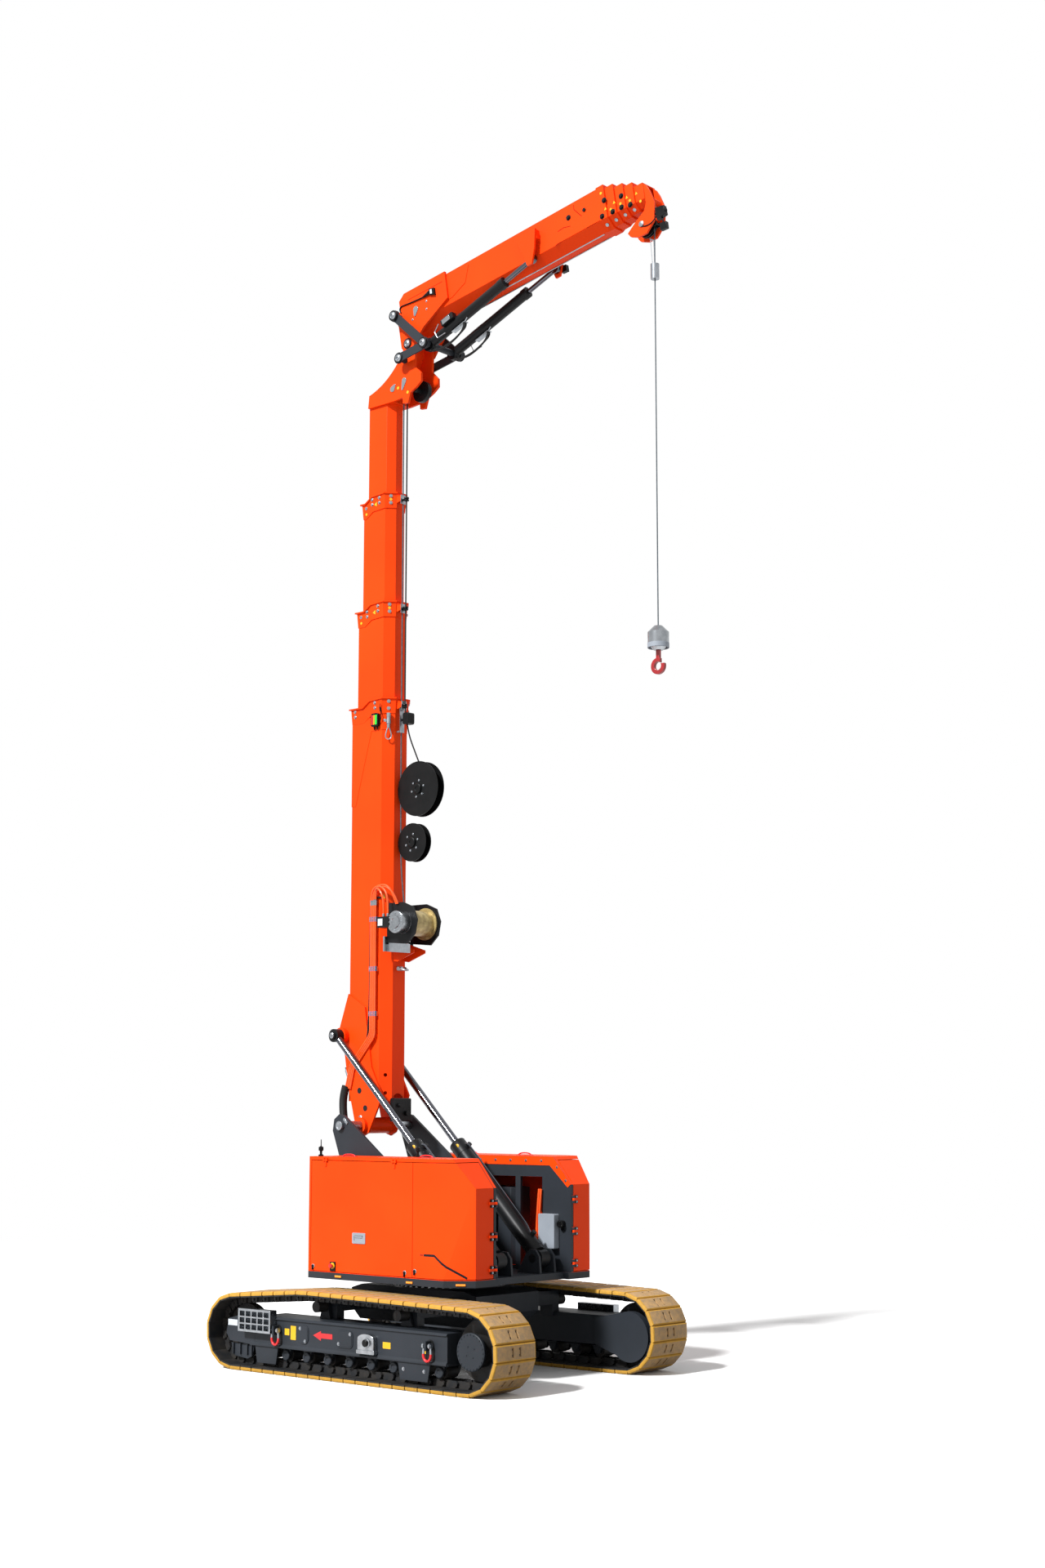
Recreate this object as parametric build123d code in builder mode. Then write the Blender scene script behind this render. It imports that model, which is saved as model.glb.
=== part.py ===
# Tracked telescopic crane with a knuckle jib, as separate sub-assemblies.
# Millimetres. The origin is on the ground under the middle of the tracks, +Z is up,
# the boom comes down towards +X, and the left side is +Y. "Side" is -1 right, +1 left.
import math
import os

from build123d import *

os.makedirs("parts", exist_ok=True)

# Fits
slide_gap = 0.5
seat_gap = 0.3

# Tracks
track_middle = 1099
shoe_width = 530
shoe_count = 54
sprocket_x, sprocket_z, sprocket_radius = 1575, 383, 383
idler_x, idler_z, idler_radius = -1530, 360, 360
carrier_x = (540, -540)
carrier_top = (784, 798)
carrier_roller_radius = 52
pad_thickness = 35
shoe_depth = 60
link_depth = 112
link_width = 190
pad_face, pad_foot, shoe_foot = 62, 71, 62
roller_count = 9
roller_pitch = 288
first_roller_x = -1165
roller_radius = 58
roller_width = 150

# Track frame and its telescopic cross beams
frame_width = 350
frame_front, frame_rear = 1285, -1272
frame_top, frame_bottom = 520, 236
beam_x = (560, -500)
beam_length, beam_height = 220, 190
beam_bottom = 560
beam_inner_end = 400
sleeve_wall = 28
beam_reach, beam_web = 74, 22

motor_radius, motor_reach = 235, 74
guard_x = ((-1262, -930), (666, 1077))
guard_foot = 82

# Steps: castings with rows of windows, on the outer faces. Rear x, front x, foot z, top z
steps = {"right": (-1420, -960, 370, 585), "left": (650, 1110, 450, 585)}
step_reach = 84
step_windows = (5, 3)
step_rim, step_bar = 22, 14

lashing_x, lashing_z = (-933, 1075), 404
lashing_reach, lashing_thickness = 72, 24
lashing_eye_out, lashing_eye_radius = 40, 18

# Centre frame and slew ring
centre_half_width = 440
centre_front, centre_rear = 860, -800
centre_bottom, centre_top = 470, 800
slew_x = 100
ring_radius = 500
ring_joint_z = 848
turret_radius = 455

# Upper body
body_half_width = 995
body_rear, body_front = -830, 1196
skirt_bottom, skirt_top = 882, 945
cowl_inner = 535
cowl_top = 2033
cowl_wall = 30
side_corner_top, side_corner_bottom = 740, 966
top_front = 975
knee_y, knee_z = body_half_width - 185, 1770
door_seam_x = 570
door_gap = 6
slot_front = 1130
front_hinge = (1214, 553)
front_hinge_z = (1030, 1330, 1630)
inner_windows = ((167, 482), (547, 829))
window_foot, window_top = 980, 1835
side_hinge = (body_half_width + 9, 1998)
side_hinge_x = (-600, 330)
hinge_pin_radius, hinge_ring_radius = 5, 9
unit_gap, unit_corner = 90, 40

# Boom pivot and luffing cylinders
boom_x, boom_z = -920, 2320
boom_pin_radius = 45
post_inner, post_outer = 462, 494
post_length = 1250
rod_eye_x, rod_eye_z = -1200, 3217
barrel_foot_x, barrel_foot_z = 1000, 1085
luff_y = 308
luff_barrel_radius = 82
luff_rod_radius = 36
luff_barrel_length = 1520
luff_rod_length = 1740
luff_pin_radius = 34

# Boom sections: rear face x, front face x, half width, bevel, foot z, top z
boom_sections = {
    "boom_base": (-1140, -620, 180, 93, 2560, 6580),
    "boom_section_2": (-1090, -640, 160, 85, 3700, 7600),
    "boom_section_3": (-1050, -655, 140, 80, 4960, 8760),
    "boom_section_4": (-1006, -676, 117.5, 70, 6200, 9796),
}
boom_wall = 9
collar_height = 165
collar_rise = 75
rise_rear, rise_front = 355, 255
collar_foot, collar_lip = 5, 20
rim_height, rim_reach = 14, 12
base_sleeve = (-1084, 5558)
sleeve_thickness = 4
foot_arch_radius = 78
bevel_holes = (2820, 2641)
bevel_hole_radius = 18

# Hoses clipped along the right side of the boom
hose_radius, hose_pitch, hose_count = 10, 21, 4
hose_y = -213
hose_route = [(-809, 4530), (-809, 3225), (-1090, 2917), (-1148, 2700)]
hose_clamps = (4380, 3880, 3430)

# Winch and cable reels on the boom
winch_x, winch_z = -395, 4330
drum_radius, drum_half_length = 128, 150
reels = {"large_reel": (-328, 5690, 280, 95), "small_reel": (-412, 5150, 195, 80)}
reel_hub_radius = 60
reel_pin_radius = 22.5

# Boom head, knuckle and jib linkage, as (x, z)
fold_pin = (-391, 10359)
fold_pin_radius = 40
lower_pin = (-457, 10200)
upper_pin = (-501, 10658)
common_pin = (-68, 10266)
head_plate_inner, head_plate_outer = 113, 143
head_sheave = (-345, 9870)
head_sheave_radius = 112

# Jib: tilted frame at the fold pin, u along the jib and v across it
jib_tilt = 9.5
jib_top, jib_side_foot, jib_bottom = 535, 195, 105
jib_half_width = 150
jib_rear, jib_front = 20, 2740
jib_step = 105
jib_shrink = 13
jib_top_step = 38
jib_ring_length, jib_ring_lip = 92, 8
jib_doubler = 5
jib_lug_u, jib_lug_v = 1778, 170
jib_cylinder_y = 177
jib_barrel_radius = 52
jib_rod_radius = 26
jib_barrel_length = 1120
cheek_outer = 178
link_inner, link_outer = 246, 272
lower_link_inner, lower_link_outer = 230, 245
link_pin_radius, link_end_radius = 34, 60
open_slot = 37

# Jib tip, load line and hook
head_foot = jib_front + 4 * jib_step + seat_gap
tip_pin_u, tip_pin_v = head_foot - 86.3, -21
tip_sheave_radius, tip_groove_radius, tip_axle_radius = 108, 80, 24
rope_radius = 6
tip_plate_inner, tip_plate_outer = 66, 90
block_top, block_bottom = 6930, 6700
block_radius = 100


def finish(piece, name):
    piece.part.label = name
    export_step(piece.part, f"parts/{name}.step")


def sides(near, far):
    """The Y spans, right then left, of a pair of pieces between two distances from the middle."""
    return [(-far, -near), (near, far)]


def plate(outline, y_low, y_high, mode=Mode.ADD):
    """A flat plate across Y from an outline of (x, z) points."""
    with BuildSketch(Plane.XZ.offset(-y_high)) as face:
        with BuildLine():
            Polyline(*outline, close=True)
        make_face()
    extrude(to_extrude=face.sketch, amount=y_high - y_low, mode=mode)


def disc(centre, radius, y_low, y_high, mode=Mode.ADD):
    """A round pin or disc across Y at an (x, z) centre."""
    with BuildSketch(Plane.XZ.offset(-y_high)) as face:
        with Locations(centre):
            Circle(radius)
    extrude(to_extrude=face.sketch, amount=y_high - y_low, mode=mode)


def slab(outline, z_low, z_high, mode=Mode.ADD):
    """A level plate from an outline of (x, y) points."""
    with BuildSketch(Plane.XY.offset(z_low)) as face:
        with BuildLine():
            Polyline(*outline, close=True)
        make_face()
    extrude(to_extrude=face.sketch, amount=z_high - z_low, mode=mode)


def box(x_low, x_high, y_low, y_high, z_low, z_high, mode=Mode.ADD):
    corners = [(x_low, y_low), (x_high, y_low), (x_high, y_high), (x_low, y_high)]
    slab(corners, z_low, z_high, mode)


def rod(start, end, radius, y_middle, mode=Mode.ADD):
    """A round bar between two (x, z) points in the plane at y_middle."""
    first = Vector(start[0], y_middle, start[1])
    last = Vector(end[0], y_middle, end[1])
    with BuildSketch(Plane(first, z_dir=last - first)) as face:
        Circle(radius)
    extrude(to_extrude=face.sketch, amount=(last - first).length, mode=mode)


def along(start, end, distance):
    """The (x, z) point at a distance from start towards end."""
    share = distance / math.dist(start, end)
    return (start[0] + share * (end[0] - start[0]), start[1] + share * (end[1] - start[1]))


def jib_point(u, v):
    """A point of the jib's tilted frame as (x, z)."""
    turn = math.radians(jib_tilt)
    x = fold_pin[0] + u * math.cos(turn) - v * math.sin(turn)
    z = fold_pin[1] + u * math.sin(turn) + v * math.cos(turn)
    return (x, z)


def jib_outline(*points):
    return [jib_point(u, v) for u, v in points]


# Track belts: shoes carried on a loop of links that follows the tangents round the wheels
carrier_radius = carrier_roller_radius + link_depth
belt_wheels = [
    (idler_x, idler_z, idler_radius),
    (sprocket_x, sprocket_z, sprocket_radius),
    (carrier_x[0], carrier_top[0] - carrier_radius, carrier_radius),
    (carrier_x[1], carrier_top[1] - carrier_radius, carrier_radius),
]


def run_angle(first, second):
    """The angle from a wheel's centre to the point where the belt leaves it for the next."""
    heading = math.atan2(second[1] - first[1], second[0] - first[0])
    return heading - math.acos((first[2] - second[2]) / math.dist(first[:2], second[:2]))


def wheel_point(wheel, angle, inset=0):
    reach = wheel[2] - inset
    return (wheel[0] + reach * math.cos(angle), wheel[1] + reach * math.sin(angle))


def belt_stretches():
    """The belt as (wheel, next wheel, angle of the run, angle where the next run starts)."""
    stretches = []
    count = len(belt_wheels)
    for place in range(count):
        first, second = belt_wheels[place], belt_wheels[(place + 1) % count]
        third = belt_wheels[(place + 2) % count]
        start = run_angle(first, second)
        turn = (run_angle(second, third) - start) % (2 * math.pi)
        stretches.append((first, second, start, turn))
    return stretches


def belt_length():
    total = 0
    for first, second, start, turn in belt_stretches():
        total += math.dist(wheel_point(first, start), wheel_point(second, start)) + second[2] * turn
    return total


def belt_place(distance):
    """The (x, z) point of the tread line at a distance along it."""
    left = distance % belt_length()
    for first, second, start, turn in belt_stretches():
        begin, end = wheel_point(first, start), wheel_point(second, start)
        run = math.dist(begin, end)
        if left <= run:
            return along(begin, end, left)
        left -= run
        if left <= second[2] * turn:
            return wheel_point(second, start + left / second[2])
        left -= second[2] * turn
    return belt_place(0)


shoe_pitch = belt_length() / shoe_count
shoe_outline = [
    (-pad_face, 0),
    (pad_face, 0),
    (pad_foot, -pad_thickness * 0.4),
    (pad_foot, -pad_thickness),
    (shoe_foot, -shoe_depth),
    (-shoe_foot, -shoe_depth),
    (-pad_foot, -pad_thickness),
    (-pad_foot, -pad_thickness * 0.4),
]


def make_belt(name, side):
    middle = side * track_middle
    with BuildPart() as belt:
        with BuildSketch(Plane.XZ.offset(-middle - link_width / 2)) as links:
            for inset, mode in ((shoe_depth - 12, Mode.ADD), (link_depth, Mode.SUBTRACT)):
                with BuildLine() as loop:
                    for first, second, start, turn in belt_stretches():
                        leave = wheel_point(second, start, inset)
                        half = wheel_point(second, start + turn / 2, inset)
                        Line(wheel_point(first, start, inset), leave)
                        ThreePointArc(leave, half, wheel_point(second, start + turn, inset))
                make_face(loop.line.edges(), mode=mode)
        extrude(amount=link_width)
        with BuildSketch(Plane.XZ.offset(-middle - shoe_width / 2)) as shoes:
            for number in range(shoe_count):
                start = belt_place(number * shoe_pitch)
                end = belt_place((number + 1) * shoe_pitch)
                heading = math.degrees(math.atan2(end[1] - start[1], end[0] - start[0]))
                centre = ((start[0] + end[0]) / 2, (start[1] + end[1]) / 2)
                with Locations(Location(centre, heading)):
                    Polygon(*[(s, -depth) for s, depth in shoe_outline], align=None)
        extrude(amount=shoe_width)
    finish(belt, name)


def make_wheels(name, side):
    middle = side * track_middle
    hub_out = middle + side * (frame_width / 2 + 8)
    hub_in = middle - side * (frame_width / 2 - seat_gap)
    with BuildPart() as wheels:
        sprocket = (sprocket_x, sprocket_z)
        disc(sprocket, sprocket_radius - link_depth - seat_gap, middle - 34, middle + 34)
        disc(sprocket, 142, *sorted((hub_in, hub_out)))
        idler = (idler_x, idler_z)
        disc(idler, idler_radius - link_depth - seat_gap, middle - 40, middle + 40)
        for number in range(roller_count):
            place = (first_roller_x + number * roller_pitch, link_depth + seat_gap + roller_radius)
            disc(place, roller_radius, middle - roller_width / 2, middle + roller_width / 2)
        for x, top in zip(carrier_x, carrier_top):
            place = (x, top - carrier_radius)
            disc(place, carrier_roller_radius - seat_gap, middle - 60, middle + 60)
    finish(wheels, name)


def make_track_frame(name, side):
    middle = side * track_middle
    face = frame_width / 2
    fork = 55
    with BuildPart() as frame:
        outline = [
            (frame_rear, frame_bottom + 40),
            (frame_rear + 30, frame_bottom),
            (frame_front, frame_bottom),
            (frame_front, frame_top),
            (frame_rear + 60, frame_top),
            (frame_rear, frame_top - 50),
        ]
        plate(outline, middle - face, middle + face)
        # The fork that holds the idler
        for low, high in ((-face + 20, -fork), (fork, face - 20)):
            ends = [
                (frame_rear + 10, idler_z - 95),
                (frame_rear + 10, idler_z + 95),
                (idler_x - 110, idler_z + 70),
                (idler_x - 150, idler_z + 30),
                (idler_x - 150, idler_z - 50),
                (idler_x - 110, idler_z - 90),
            ]
            plate(ends, middle + low, middle + high)
        # Roller brackets
        for number in range(roller_count):
            x = first_roller_x + number * roller_pitch
            wedge = [(x - 62, frame_bottom), (x + 62, frame_bottom), (x + 26, 150), (x - 26, 150)]
            reach = roller_width / 2 + 4
            for low, high in ((-reach - 34, -reach), (reach, reach + 34)):
                plate(wedge, middle + low, middle + high)
        # Carrier roller stands
        for x, top in zip(carrier_x, carrier_top):
            z = top - carrier_radius
            stand = [(x - 70, frame_top), (x + 70, frame_top), (x + 34, z + 30), (x - 34, z + 30)]
            plate(stand, *sorted((middle - side * (60 + seat_gap), middle - side * 96)))
        # The drive motor's teardrop housing on the inner side
        inner = middle - side * face
        drop_middle = (sprocket_x + 62, sprocket_z - 33)
        drop = [
            (frame_front - 60, frame_top - 20),
            (drop_middle[0] - 60, drop_middle[1] + 226),
            drop_middle,
            (drop_middle[0] - 150, drop_middle[1] - 180),
            (frame_front - 60, frame_bottom + 20),
        ]
        plate(drop, *sorted((inner, inner - side * motor_reach)))
        disc(drop_middle, motor_radius, *sorted((inner, inner - side * motor_reach)))
        # Guards under the outer face, over the rollers
        for x_low, x_high in guard_x:
            guard = [
                (x_low, frame_bottom + 20), (x_high, frame_bottom + 20), (x_high - 34, guard_foot),
                (x_low + 34, guard_foot),
            ]
            plate(guard, *sorted((middle + side * (face - 12), middle + side * face)))
        # Lashing lugs on the outer face
        outer = middle + side * face
        for x in lashing_x:
            tip = outer + side * lashing_reach
            box(x - lashing_thickness / 2, x + lashing_thickness / 2, *sorted((outer, tip)), lashing_z - 42, lashing_z + 42)
            with BuildSketch(Plane.YZ.offset(x - lashing_thickness / 2)) as eye:
                with Locations((outer + side * lashing_eye_out, lashing_z)):
                    Circle(lashing_eye_radius)
            extrude(to_extrude=eye.sketch, amount=lashing_thickness, mode=Mode.SUBTRACT)
    finish(frame, name)


def make_cross_beams(name, side):
    """The two beams of a track that slide in the centre frame, each on a knee on the track frame."""
    inner = side * (track_middle - frame_width / 2)
    low = beam_bottom + sleeve_wall
    high = beam_bottom + beam_height - sleeve_wall
    with BuildPart() as beams:
        for x in beam_x:
            half = beam_length / 2 - sleeve_wall
            box(x - half, x + half, *sorted((side * beam_inner_end, inner + side * beam_reach)), low, high)
            box(x - half, x + half, *sorted((inner, inner + side * beam_reach)), frame_top, low)
            web = [(x - half, frame_top - 40), (x + half, frame_top - 40), (x + half, low), (x - half, low)]
            plate(web, *sorted((inner, inner - side * beam_web)))
    finish(beams, name)


def make_step(name, side, place):
    """A step on a track frame's outer face: a rim round a grid of windows."""
    rear, front, foot, top = place
    columns, rows = step_windows
    face = side * (track_middle + frame_width / 2)
    wide = (front - rear - 2 * step_rim + step_bar) / columns
    tall = (top - foot - 2 * step_rim + step_bar) / rows
    with BuildPart() as step:
        box(rear, front, *sorted((face + side * seat_gap, face + side * step_reach)), foot, top)
        for column in range(columns):
            for row in range(rows):
                x, z = rear + step_rim + column * wide, foot + step_rim + row * tall
                room = sorted((face + side * step_bar, face + side * (step_reach + 1)))
                box(x, x + wide - step_bar, *room, z, z + tall - step_bar, Mode.SUBTRACT)
    finish(step, name)


for side, word in ((-1, "right"), (1, "left")):
    make_belt(f"{word}_track_belt", side)
    make_wheels(f"{word}_track_wheels", side)
    make_track_frame(f"{word}_track_frame", side)
    make_cross_beams(f"{word}_cross_beams", side)
    make_step(f"{word}_step", side, steps[word])

# Centre frame, with the tunnels that the cross beams slide in
with BuildPart() as centre_frame:
    outline = [
        (centre_rear, centre_bottom + 110),
        (centre_rear + 120, centre_bottom),
        (centre_front - 140, centre_bottom),
        (centre_front, centre_bottom + 110),
        (centre_front, centre_top - 40),
        (centre_front - 160, centre_top),
        (centre_rear + 140, centre_top),
        (centre_rear, centre_top - 40),
    ]
    plate(outline, -centre_half_width, centre_half_width)
    for x in beam_x:
        half = beam_length / 2 - sleeve_wall + slide_gap
        low = beam_bottom + sleeve_wall - slide_gap
        high = beam_bottom + beam_height - sleeve_wall + slide_gap
        box(x - half, x + half, -centre_half_width, centre_half_width, low, high, Mode.SUBTRACT)
finish(centre_frame, "centre_frame")

with BuildPart() as slew_ring:
    with BuildSketch(Plane.XY.offset(centre_top)):
        with Locations((slew_x, 0)):
            Circle(ring_radius)
            Circle(ring_radius - 120, mode=Mode.SUBTRACT)
    extrude(amount=ring_joint_z - centre_top)
finish(slew_ring, "slew_ring")

# Machine frame: skirt, turret, posts of the boom pivot and lugs of the luffing cylinders
deck_outline = [
    (body_rear, -body_half_width),
    (side_corner_bottom, -body_half_width),
    (body_front, -knee_y),
    (body_front, -cowl_inner + 40),
    (slot_front, -cowl_inner + 40),
    (slot_front, cowl_inner - 40),
    (body_front, cowl_inner - 40),
    (body_front, knee_y),
    (side_corner_bottom, body_half_width),
    (body_rear, body_half_width),
]
with BuildPart() as machine_frame:
    slab(deck_outline, skirt_bottom, skirt_top)
    with BuildSketch(Plane.XY.offset(ring_joint_z + seat_gap)):
        with Locations((slew_x, 0)):
            Circle(turret_radius)
    extrude(amount=skirt_bottom - ring_joint_z)
    post = [
        (body_rear + 20, skirt_top),
        (body_rear + 20, 1690),
        (boom_x - 118, boom_z - 50),
        (boom_x - 100, boom_z + 62),
        (boom_x - 30, boom_z + 112),
        (boom_x + 40, boom_z + 100),
        (boom_x + 575, boom_z - 290),
        (boom_x + post_length, skirt_top),
    ]
    for low, high in sides(post_inner, post_outer):
        plate(post, low, high)
        disc((boom_x, boom_z), boom_pin_radius + seat_gap, low, high, Mode.SUBTRACT)
    lug = [
        (barrel_foot_x - 190, skirt_top),
        (barrel_foot_x - 80, barrel_foot_z + 40),
        (barrel_foot_x - 30, barrel_foot_z + 85),
        (barrel_foot_x + 40, barrel_foot_z + 80),
        (barrel_foot_x + 85, barrel_foot_z + 20),
        (barrel_foot_x + 100, skirt_top),
    ]
    for near, far in ((luff_y - 118, luff_y - 92), (luff_y + 92, luff_y + 118)):
        for low, high in sides(near, far):
            plate(lug, low, high)
            disc((barrel_foot_x, barrel_foot_z), luff_pin_radius + seat_gap, low, high, Mode.SUBTRACT)
finish(machine_frame, "machine_frame")

with BuildPart() as boom_pin:
    disc((boom_x, boom_z), boom_pin_radius, -post_outer - 30, post_outer + 30)
finish(boom_pin, "boom_pin")


# Cowls: hollow shells with folded front corners, cut where the doors part from the panels
def cowl_form(side, shrink):
    """The closed form of one cowl, drawn in by shrink on every face."""
    low, high = cowl_inner + shrink, body_half_width - shrink
    lean = math.atan2(cowl_top - knee_z, body_front - top_front)
    slope = shrink / math.sin(lean) - shrink / math.tan(lean)
    outline = [
        (body_rear + shrink, skirt_top + shrink),
        (body_front - shrink, skirt_top + shrink),
        (body_front - shrink, knee_z - slope),
        (top_front - shrink / math.tan(lean / 2) + shrink * 0.9, cowl_top - shrink),
        (body_rear + shrink, cowl_top - shrink),
    ]
    top_corner = Vector(side_corner_top, side * body_half_width, cowl_top)
    low_corner = Vector(side_corner_bottom, side * body_half_width, skirt_top)
    knee = Vector(body_front, side * knee_y, knee_z)
    toe = Vector(body_front, side * knee_y, skirt_top)
    with BuildPart() as form:
        plate(outline, *sorted((side * low, side * high)))
        for corners in ((top_corner, low_corner, knee), (low_corner, toe, knee)):
            normal = (corners[1] - corners[0]).cross(corners[2] - corners[0]).normalized()
            if normal.X < 0:
                normal = -normal
            cut = Plane(corners[0] - normal * shrink, z_dir=normal)
            split(bisect_by=cut, keep=Keep.BOTTOM)
    return form.part


def door_region(kind, side, gap):
    """The room that a door takes up, grown by a gap: side panel or folded front corner."""
    outer = side * (body_half_width + 50)
    with BuildPart() as room:
        if kind == "side":
            inner = side * (body_half_width - cowl_wall - 1)
            x_span = (body_rear + 34 - gap, door_seam_x - door_gap / 2 + gap)
            box(*x_span, *sorted((inner, outer)), skirt_top + 10 - gap, cowl_top - 38 + gap)
        else:
            inner = side * (cowl_inner + cowl_wall - gap + door_gap)
            x_span = (door_seam_x + door_gap / 2 - gap, body_front + 50)
            box(*x_span, *sorted((inner, outer)), skirt_top + 10 - gap, cowl_top - 38 + gap)
    return room.part


def upright(centre, radius, z_low, z_high, mode=Mode.ADD):
    """A round upright pin or ring at an (x, y) centre."""
    with BuildSketch(Plane.XY.offset(z_low)) as face:
        with Locations(centre):
            Circle(radius)
    extrude(to_extrude=face.sketch, amount=z_high - z_low, mode=mode)


def lengthways(centre, radius, x_low, x_high, mode=Mode.ADD):
    """A round bar along X at a (y, z) centre."""
    with BuildSketch(Plane.YZ.offset(x_low)) as face:
        with Locations(centre):
            Circle(radius)
    extrude(to_extrude=face.sketch, amount=x_high - x_low, mode=mode)


def side_hinge_parts(side, moving):
    """Top hinges of a side door: the ring and arm on the door, or the pin and lugs on the cowl."""
    centre = (side * side_hinge[0], side_hinge[1])
    face = side * body_half_width
    for x in side_hinge_x:
        if moving:
            notch = sorted((face - side * 12, face + side * 1))
            box(x - 32, x + 32, *notch, side_hinge[1] - 14, side_hinge[1], Mode.SUBTRACT)
            box(x - 11, x + 11, *sorted((face - side * 12, centre[0])), side_hinge[1] - 58, side_hinge[1])
            lengthways(centre, hinge_ring_radius, x - 11, x + 11)
            lengthways(centre, hinge_pin_radius + seat_gap, x - 11, x + 11, Mode.SUBTRACT)
        else:
            for low, high in ((x - 30, x - 11 - seat_gap), (x + 11 + seat_gap, x + 30)):
                box(low, high, *sorted((face, centre[0] + side * 8)), side_hinge[1] - 9, side_hinge[1] + 22)
            lengthways(centre, hinge_pin_radius, x - 30, x + 30)


def front_hinge_parts(side, moving):
    """Upright hinges on the inner edge of a front door, made like the top ones."""
    x, y = front_hinge[0], side * front_hinge[1]
    for z in front_hinge_z:
        if moving:
            box(body_front - 5, x, *sorted((side * (front_hinge[1] + 22), side * 640)), z - 12, z + 12)
            box(x - 12, x, *sorted((y, side * (front_hinge[1] + 30))), z - 12, z + 12)
            upright((x, y), hinge_ring_radius + 3, z - 12, z + 12)
            upright((x, y), hinge_pin_radius + seat_gap, z - 12, z + 12, Mode.SUBTRACT)
        else:
            for low, high in ((z - 36, z - 12 - seat_gap), (z + 12 + seat_gap, z + 36)):
                box(body_front - 5, x + 8, *sorted((y - side * 12, y + side * 10)), low, high)
            upright((x, y), hinge_pin_radius, z - 36, z + 36)


hinge_parts = {"side": side_hinge_parts, "front": front_hinge_parts}
for side, word in ((-1, "right"), (1, "left")):
    outer_form = cowl_form(side, 0)
    inner_form = cowl_form(side, cowl_wall)
    for kind, make_hinges in hinge_parts.items():
        with BuildPart() as door:
            add(outer_form)
            add(inner_form, mode=Mode.SUBTRACT)
            add(door_region(kind, side, 0), mode=Mode.INTERSECT)
            make_hinges(side, True)
        finish(door, f"{word}_{kind}_door")
    with BuildPart() as cowl:
        add(outer_form)
        add(inner_form, mode=Mode.SUBTRACT)
        for kind, make_hinges in hinge_parts.items():
            add(door_region(kind, side, door_gap), mode=Mode.SUBTRACT)
            make_hinges(side, False)
        # Windows in the inner wall, towards the boom
        for x_low, x_high in inner_windows:
            room = sorted((side * (cowl_inner - 1), side * (cowl_inner + cowl_wall + 1)))
            box(x_low, x_high, *room, window_foot, window_top, Mode.SUBTRACT)
    finish(cowl, f"{word}_cowl")

# Closed-in units: one plain block in each cowl
right_room, left_room = sides(cowl_inner + unit_gap, body_half_width - unit_gap)
unit_foot = skirt_top + cowl_wall + seat_gap
with BuildPart() as power_unit:
    box(-680, 420, *right_room, unit_foot, 1640)
    chamfer(power_unit.edges().group_by(Axis.Z)[-1], unit_corner)
finish(power_unit, "power_unit")

with BuildPart() as tank_unit:
    box(-640, 380, *left_room, unit_foot, 1720)
    chamfer(tank_unit.edges().filter_by(Axis.Z), unit_corner)
finish(tank_unit, "tank_unit")

with BuildPart() as deck_equipment:
    box(-640, -180, -150, 150, skirt_top + seat_gap, 1800)
    chamfer(deck_equipment.edges().group_by(Axis.Z)[-1], 40)
finish(deck_equipment, "deck_equipment")

# Luffing cylinders: both barrels share one node, and both rods another
foot, eye = (barrel_foot_x, barrel_foot_z), (rod_eye_x, rod_eye_z)
luff_length = math.dist(foot, eye)
with BuildPart() as luff_barrels:
    for middle in (-luff_y, luff_y):
        start, end = along(foot, eye, 60), along(foot, eye, luff_barrel_length)
        rod(start, end, luff_barrel_radius, middle)
        rod(start, end, luff_rod_radius + slide_gap, middle, Mode.SUBTRACT)
        disc(foot, 78, middle - 62, middle + 62)
        disc(foot, luff_pin_radius, middle - 118, middle + 118)
finish(luff_barrels, "luff_barrels")

with BuildPart() as luff_rods:
    for middle in (-luff_y, luff_y):
        inner_end = along(foot, eye, luff_length - luff_rod_length)
        rod(inner_end, along(foot, eye, luff_length - 40), luff_rod_radius, middle)
        disc(eye, 66, middle - 42, middle + 42)
        disc(eye, 38, *sorted((middle, middle + math.copysign(58, middle))))
finish(luff_rods, "luff_rods")


# Boom sections: flat sides with a bevelled front, a collar at the top of each
def boom_outline(rear, front, half_width, bevel):
    return [
        (rear, -half_width),
        (front - bevel, -half_width),
        (front, -half_width + bevel),
        (front, half_width - bevel),
        (front - bevel, half_width),
        (rear, half_width),
    ]


def grown(section, margin):
    """The outline of a boom section, grown by a margin on every face."""
    rear, front, half_width, bevel = section[:4]
    return boom_outline(rear - margin, front + margin, half_width + margin, bevel + margin * 0.586)


def boom_face(z, shape, mode=Mode.ADD):
    with BuildSketch(Plane.XY.offset(z)) as face:
        with BuildLine():
            Polyline(*shape, close=True)
        make_face()
    return face.sketch


def collar_band(section, z_low, z_high):
    """The side view of a collar: both edges step up towards the front."""
    rear, front = section[0] - 100, section[1]
    steps = [
        (rear, 0), (front - rise_rear, 0), (front - rise_front, collar_rise - 12), (front - 60, collar_rise),
        (front + 100, collar_rise),
    ]
    return [(x, z_low + up) for x, up in steps] + [(x, z_high + up) for x, up in reversed(steps)]


def make_collar(section, following):
    """The collar that the next section slides in: it flares towards a thin rim."""
    low, high = section[5] - collar_height, section[5] + collar_rise
    reach = section[2] + 100
    with BuildPart() as collar:
        loft([boom_face(low, grown(section, collar_foot)), boom_face(high, grown(section, collar_lip))])
        plate(collar_band(section, low, section[5]), -reach, reach, Mode.INTERSECT)
    with BuildPart() as rim:
        slab(grown(section, collar_lip + rim_reach), low, high)
        plate(collar_band(section, section[5] - rim_height, section[5]), -reach, reach, Mode.INTERSECT)
    with BuildPart() as ring:
        add(collar.part)
        add(rim.part)
        slab(grown(following, slide_gap), low - 1, high + 1, Mode.SUBTRACT)
    return ring.part


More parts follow.
